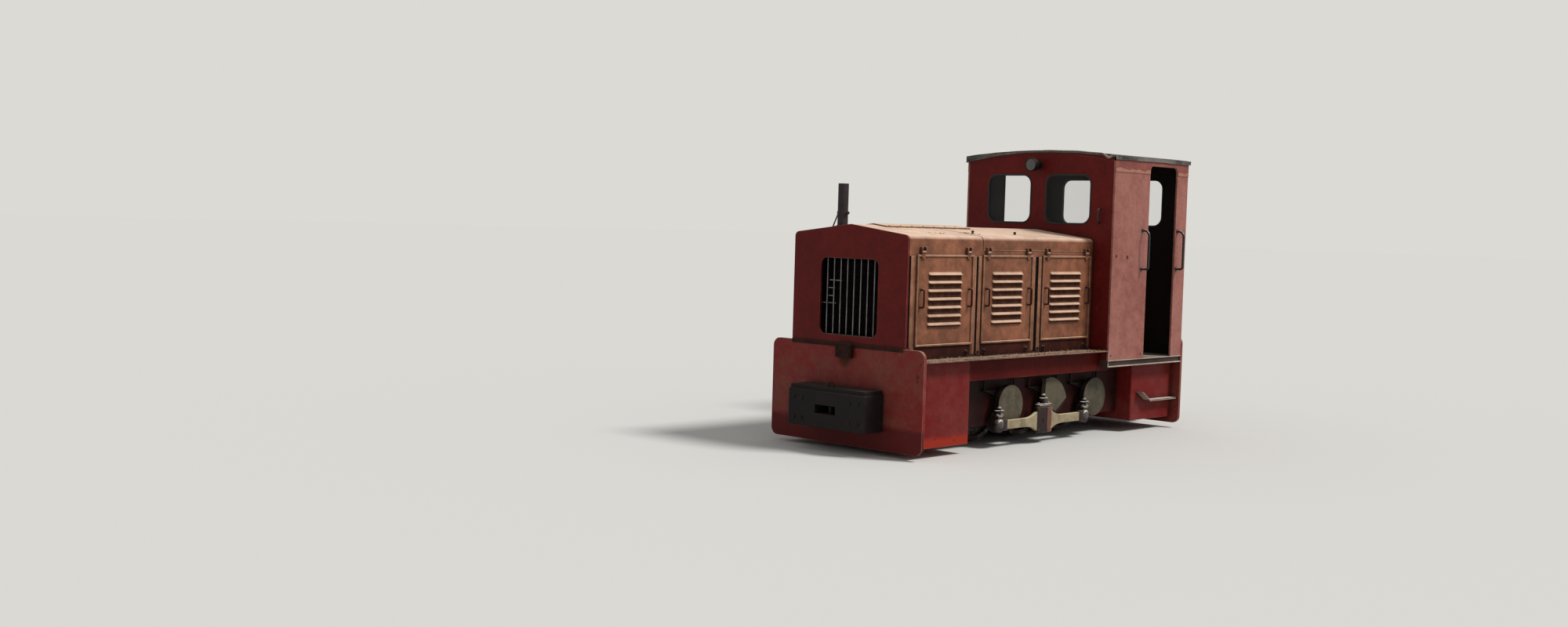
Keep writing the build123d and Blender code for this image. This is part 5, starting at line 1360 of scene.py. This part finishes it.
for k in range(4):
    a = math.pi / 4 + k * math.pi / 2
    spoke = [Vector((reach * math.cos(a), reach * math.sin(a), -drop))
             for reach, drop in ((0.012, 0.010), (0.045, 0.006), (WHEEL_RADIUS, 0))]
    add_bar(trim, [WHEEL_PLACE + p for p in spoke], SPOKE_BAR, steps=10)
add_turned(trim, (*WHEEL_PLACE.xy, DESK_TOP - 0.002), UP, WHEEL_COLUMN)
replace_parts(make_piece("desk_cabinet", cabinet, "desk_grey"), "control_desk")
make_piece("desk_trim", trim, "rail_black")
make_piece("desk_dials", faces, "dial_face")

# %% [markdown]
# ## The driver's seat
# Two vinyl cushions on a steel pedestal. A stuffed cushion is crowned, and its sides pull in between the
# corners, because the cover is sewn flat and the filling pushes it out. A short cloth simulation with air
# pressure inside a slightly small block gives that form; a welt is then laid round its edge.

# %% Cushions blown up by a short cloth simulation
SHRINK, MOST_SWELL = 0.011, 0.014


def applied(piece):
    """Swap a piece's mesh for what its modifiers make of it."""
    graph = bpy.context.evaluated_depsgraph_get()
    mesh = bpy.data.meshes.new_from_object(piece.evaluated_get(graph))
    piece.modifiers.clear()
    piece.data = mesh
    return mesh


def blow_up(piece, frames=14):
    """Swell a closed mesh with cloth under air pressure, and cap how far each point moves."""
    before = [v.co.copy() for v in piece.data.vertices]
    cloth = piece.modifiers.new("stuffing", "CLOTH")
    cloth.settings.use_pressure = True
    cloth.settings.uniform_pressure_force = 4.0
    cloth.settings.effector_weights.gravity = 0.0
    cloth.point_cache.frame_end = frames
    for number in range(1, frames + 1):
        bpy.context.scene.frame_set(number)
        bpy.context.view_layer.update()
    mesh = applied(piece)
    for vertex, start in zip(mesh.vertices, before):
        move = vertex.co - start
        if move.length > MOST_SWELL:
            vertex.co = start + move.normalized() * MOST_SWELL
    bpy.context.scene.frame_set(1)


def make_cushion(name, low, high):
    """One vinyl cushion in the space between two corners, from an evenly meshed block that swells."""
    low, high = Vector(low), Vector(high)
    shrink = Vector((SHRINK, SHRINK, SHRINK))
    shape = bmesh.new()
    add_block(shape, low + shrink, high - shrink, rounding=0.016)
    piece = new_object(name, new_mesh(name, shape))
    remesh = piece.modifiers.new("even mesh", "REMESH")
    remesh.mode = "VOXEL"
    remesh.voxel_size = 0.011
    applied(piece)
    blow_up(piece)
    smooth = piece.modifiers.new("smooth cover", "SUBSURF")
    smooth.levels = smooth.render_levels = 1
    applied(piece)
    for vertex in piece.data.vertices:
        vertex.co = Vector([min(max(v, a), b) for v, a, b in zip(vertex.co, low, high)])
    piece.data.materials.append(FINISHES["seat_vinyl"])
    piece.data.shade_smooth()
    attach(piece, "frame")
    return piece


SEAT = (-1.675, -0.420)
cushion = make_cushion("seat_cushion", (SEAT[0] - 0.19, SEAT[1] - 0.20, 1.135),
                       (SEAT[0] + 0.19, SEAT[1] + 0.20, 1.215))
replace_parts(cushion, "driver_seat")
make_cushion("seat_backrest", (-1.890, SEAT[1] - 0.19, 1.225), (-1.840, SEAT[1] + 0.19, 1.615))

# %% Welts, pan and pedestal
WELT_BAR, WELT_CORNER = 0.0035, 0.03
PEDESTAL_FOOT = 0.715
PEDESTAL = [(0, 0.110), (0.010, 0.110), (0.016, 0.060), (0.030, 0.036), (0.400, 0.032), (0.405, 0.075),
            (0.414, 0.075)]
ARM_X, ARM_BAR = -1.868, 0.013
welts, pedestal = bmesh.new(), bmesh.new()
flat = rounded_ring(0, SEAT[1] - 0.190, SEAT[1] + 0.190, -0.180, 0.180, WELT_CORNER)
upright = rounded_ring(-1.8435, SEAT[1] - 0.180, SEAT[1] + 0.180, 1.236, 1.604, WELT_CORNER)
for path in [[Vector((SEAT[0] + p.z, p.y, z)) for p in flat] for z in (1.150, 1.200)] + [upright]:
    add_bar(welts, path, WELT_BAR, steps=8, closed=True)
make_piece("seat_welts", welts, "seat_vinyl")
add_block(pedestal, (SEAT[0] - 0.17, SEAT[1] - 0.18, 1.127), (SEAT[0] + 0.17, SEAT[1] + 0.18, 1.137),
          rounding=0.002)
add_turned(pedestal, (*SEAT, PEDESTAL_FOOT), UP, PEDESTAL, steps=32)
arm = bend([(SEAT[0] - 0.10, SEAT[1], 1.130), (ARM_X, SEAT[1], 1.130), (ARM_X, SEAT[1], 1.40)], 0.04)
add_bar(pedestal, arm, ARM_BAR)
make_piece("seat_pedestal", pedestal, "black_iron")

# %% [markdown]
# ## The floor, the light and the camera
# The camera stands at the photograph's viewpoint, worked out from the locomotive's straight edges.
# The floor is plain and pale and the backdrop is the same colour as the lit floor, so no horizon shows.
# One wide soft lamp, far off like the sun, stands high on the left and a little behind: tops and
# shoulders catch it, the long side gets it at a slant, and the front falls into its own soft shade.

# %% Floor, world and lamp
BACKDROP = linear("#dcdad5")
FLOOR_COLOUR = linear("#cbc9c4")
FLOOR_REACH = 200.0
SKY_STRENGTH = 0.5
KEY_STRENGTH, KEY_SPREAD, KEY_TOWARDS = 2.9, math.radians(14), Vector((-0.30, 0.55, 0.78))


def make_floor():
    """A wide pale floor under the wheels."""
    shape = bmesh.new()
    shape.faces.new([shape.verts.new((sx * FLOOR_REACH, sy * FLOOR_REACH, 0))
                     for sx, sy in ((-1, -1), (1, -1), (1, 1), (-1, 1))])
    floor = new_object("studio_floor", new_mesh("floor", shape))
    floor.data.materials.append(new_material(
        "studio floor", {"Base Color": FLOOR_COLOUR, "Roughness": 1.0, "Specular IOR Level": 0.0})[0])


def light_the_world(strength):
    """Even soft light from the world, which shows as a pale backdrop to the camera and in reflections."""
    world = bpy.data.worlds.new("studio world")
    bpy.context.scene.world = world
    world.use_nodes = True
    world.node_tree.nodes.clear()
    add = partial(add_node, world.node_tree)
    rays = add("LightPath").outputs
    seen = add("Math", {"operation": "MAXIMUM"}, {0: rays["Is Camera Ray"], 1: rays["Is Glossy Ray"]})
    shown = add("Math", {"operation": "MAXIMUM"}, {0: seen, 1: rays["Is Transmission Ray"]})
    soft = add("Background", {"Color": linear("#f6f7f9"), "Strength": strength})
    backdrop = add("Background", {"Color": BACKDROP, "Strength": 1.0})
    add("OutputWorld", {}, {"Surface": add("MixShader", {}, {0: shown, 1: soft, 2: backdrop})})


make_floor()
light_the_world(SKY_STRENGTH)
light = bpy.data.lights.new("key lamp", "SUN")
light.energy = KEY_STRENGTH
light.angle = KEY_SPREAD
lamp = new_object("key lamp", light)
lamp.rotation_mode = "QUATERNION"
lamp.rotation_quaternion = KEY_TOWARDS.to_track_quat("Z", "Y")

# %% Camera
CAMERA_PLACE = Vector((11.970, 9.010, 1.9055))
CAMERA_HEADING, CAMERA_TILT, CAMERA_ROLL = (math.radians(degrees) for degrees in (-135.69, -3.26, 1.66))
FOCAL_PIXELS, FRAME_WIDTH, SENSOR_WIDTH = 2048.1, 2000, 36.0


def make_camera():
    """The photograph's viewpoint, direction and lens."""
    data = bpy.data.cameras.new("camera")
    data.sensor_width = SENSOR_WIDTH
    data.lens = SENSOR_WIDTH * FOCAL_PIXELS / FRAME_WIDTH
    data.clip_end = 500
    camera = new_object("camera", data)
    flat = math.cos(CAMERA_TILT)
    ahead = Vector((flat * math.cos(CAMERA_HEADING), flat * math.sin(CAMERA_HEADING), math.sin(CAMERA_TILT)))
    camera.location = CAMERA_PLACE
    camera.rotation_mode = "QUATERNION"
    camera.rotation_quaternion = ahead.to_track_quat("-Z", "Y") @ Quaternion((0, 0, 1), CAMERA_ROLL)
    bpy.context.scene.camera = camera


make_camera()
bpy.context.scene.view_settings.view_transform = "Standard"
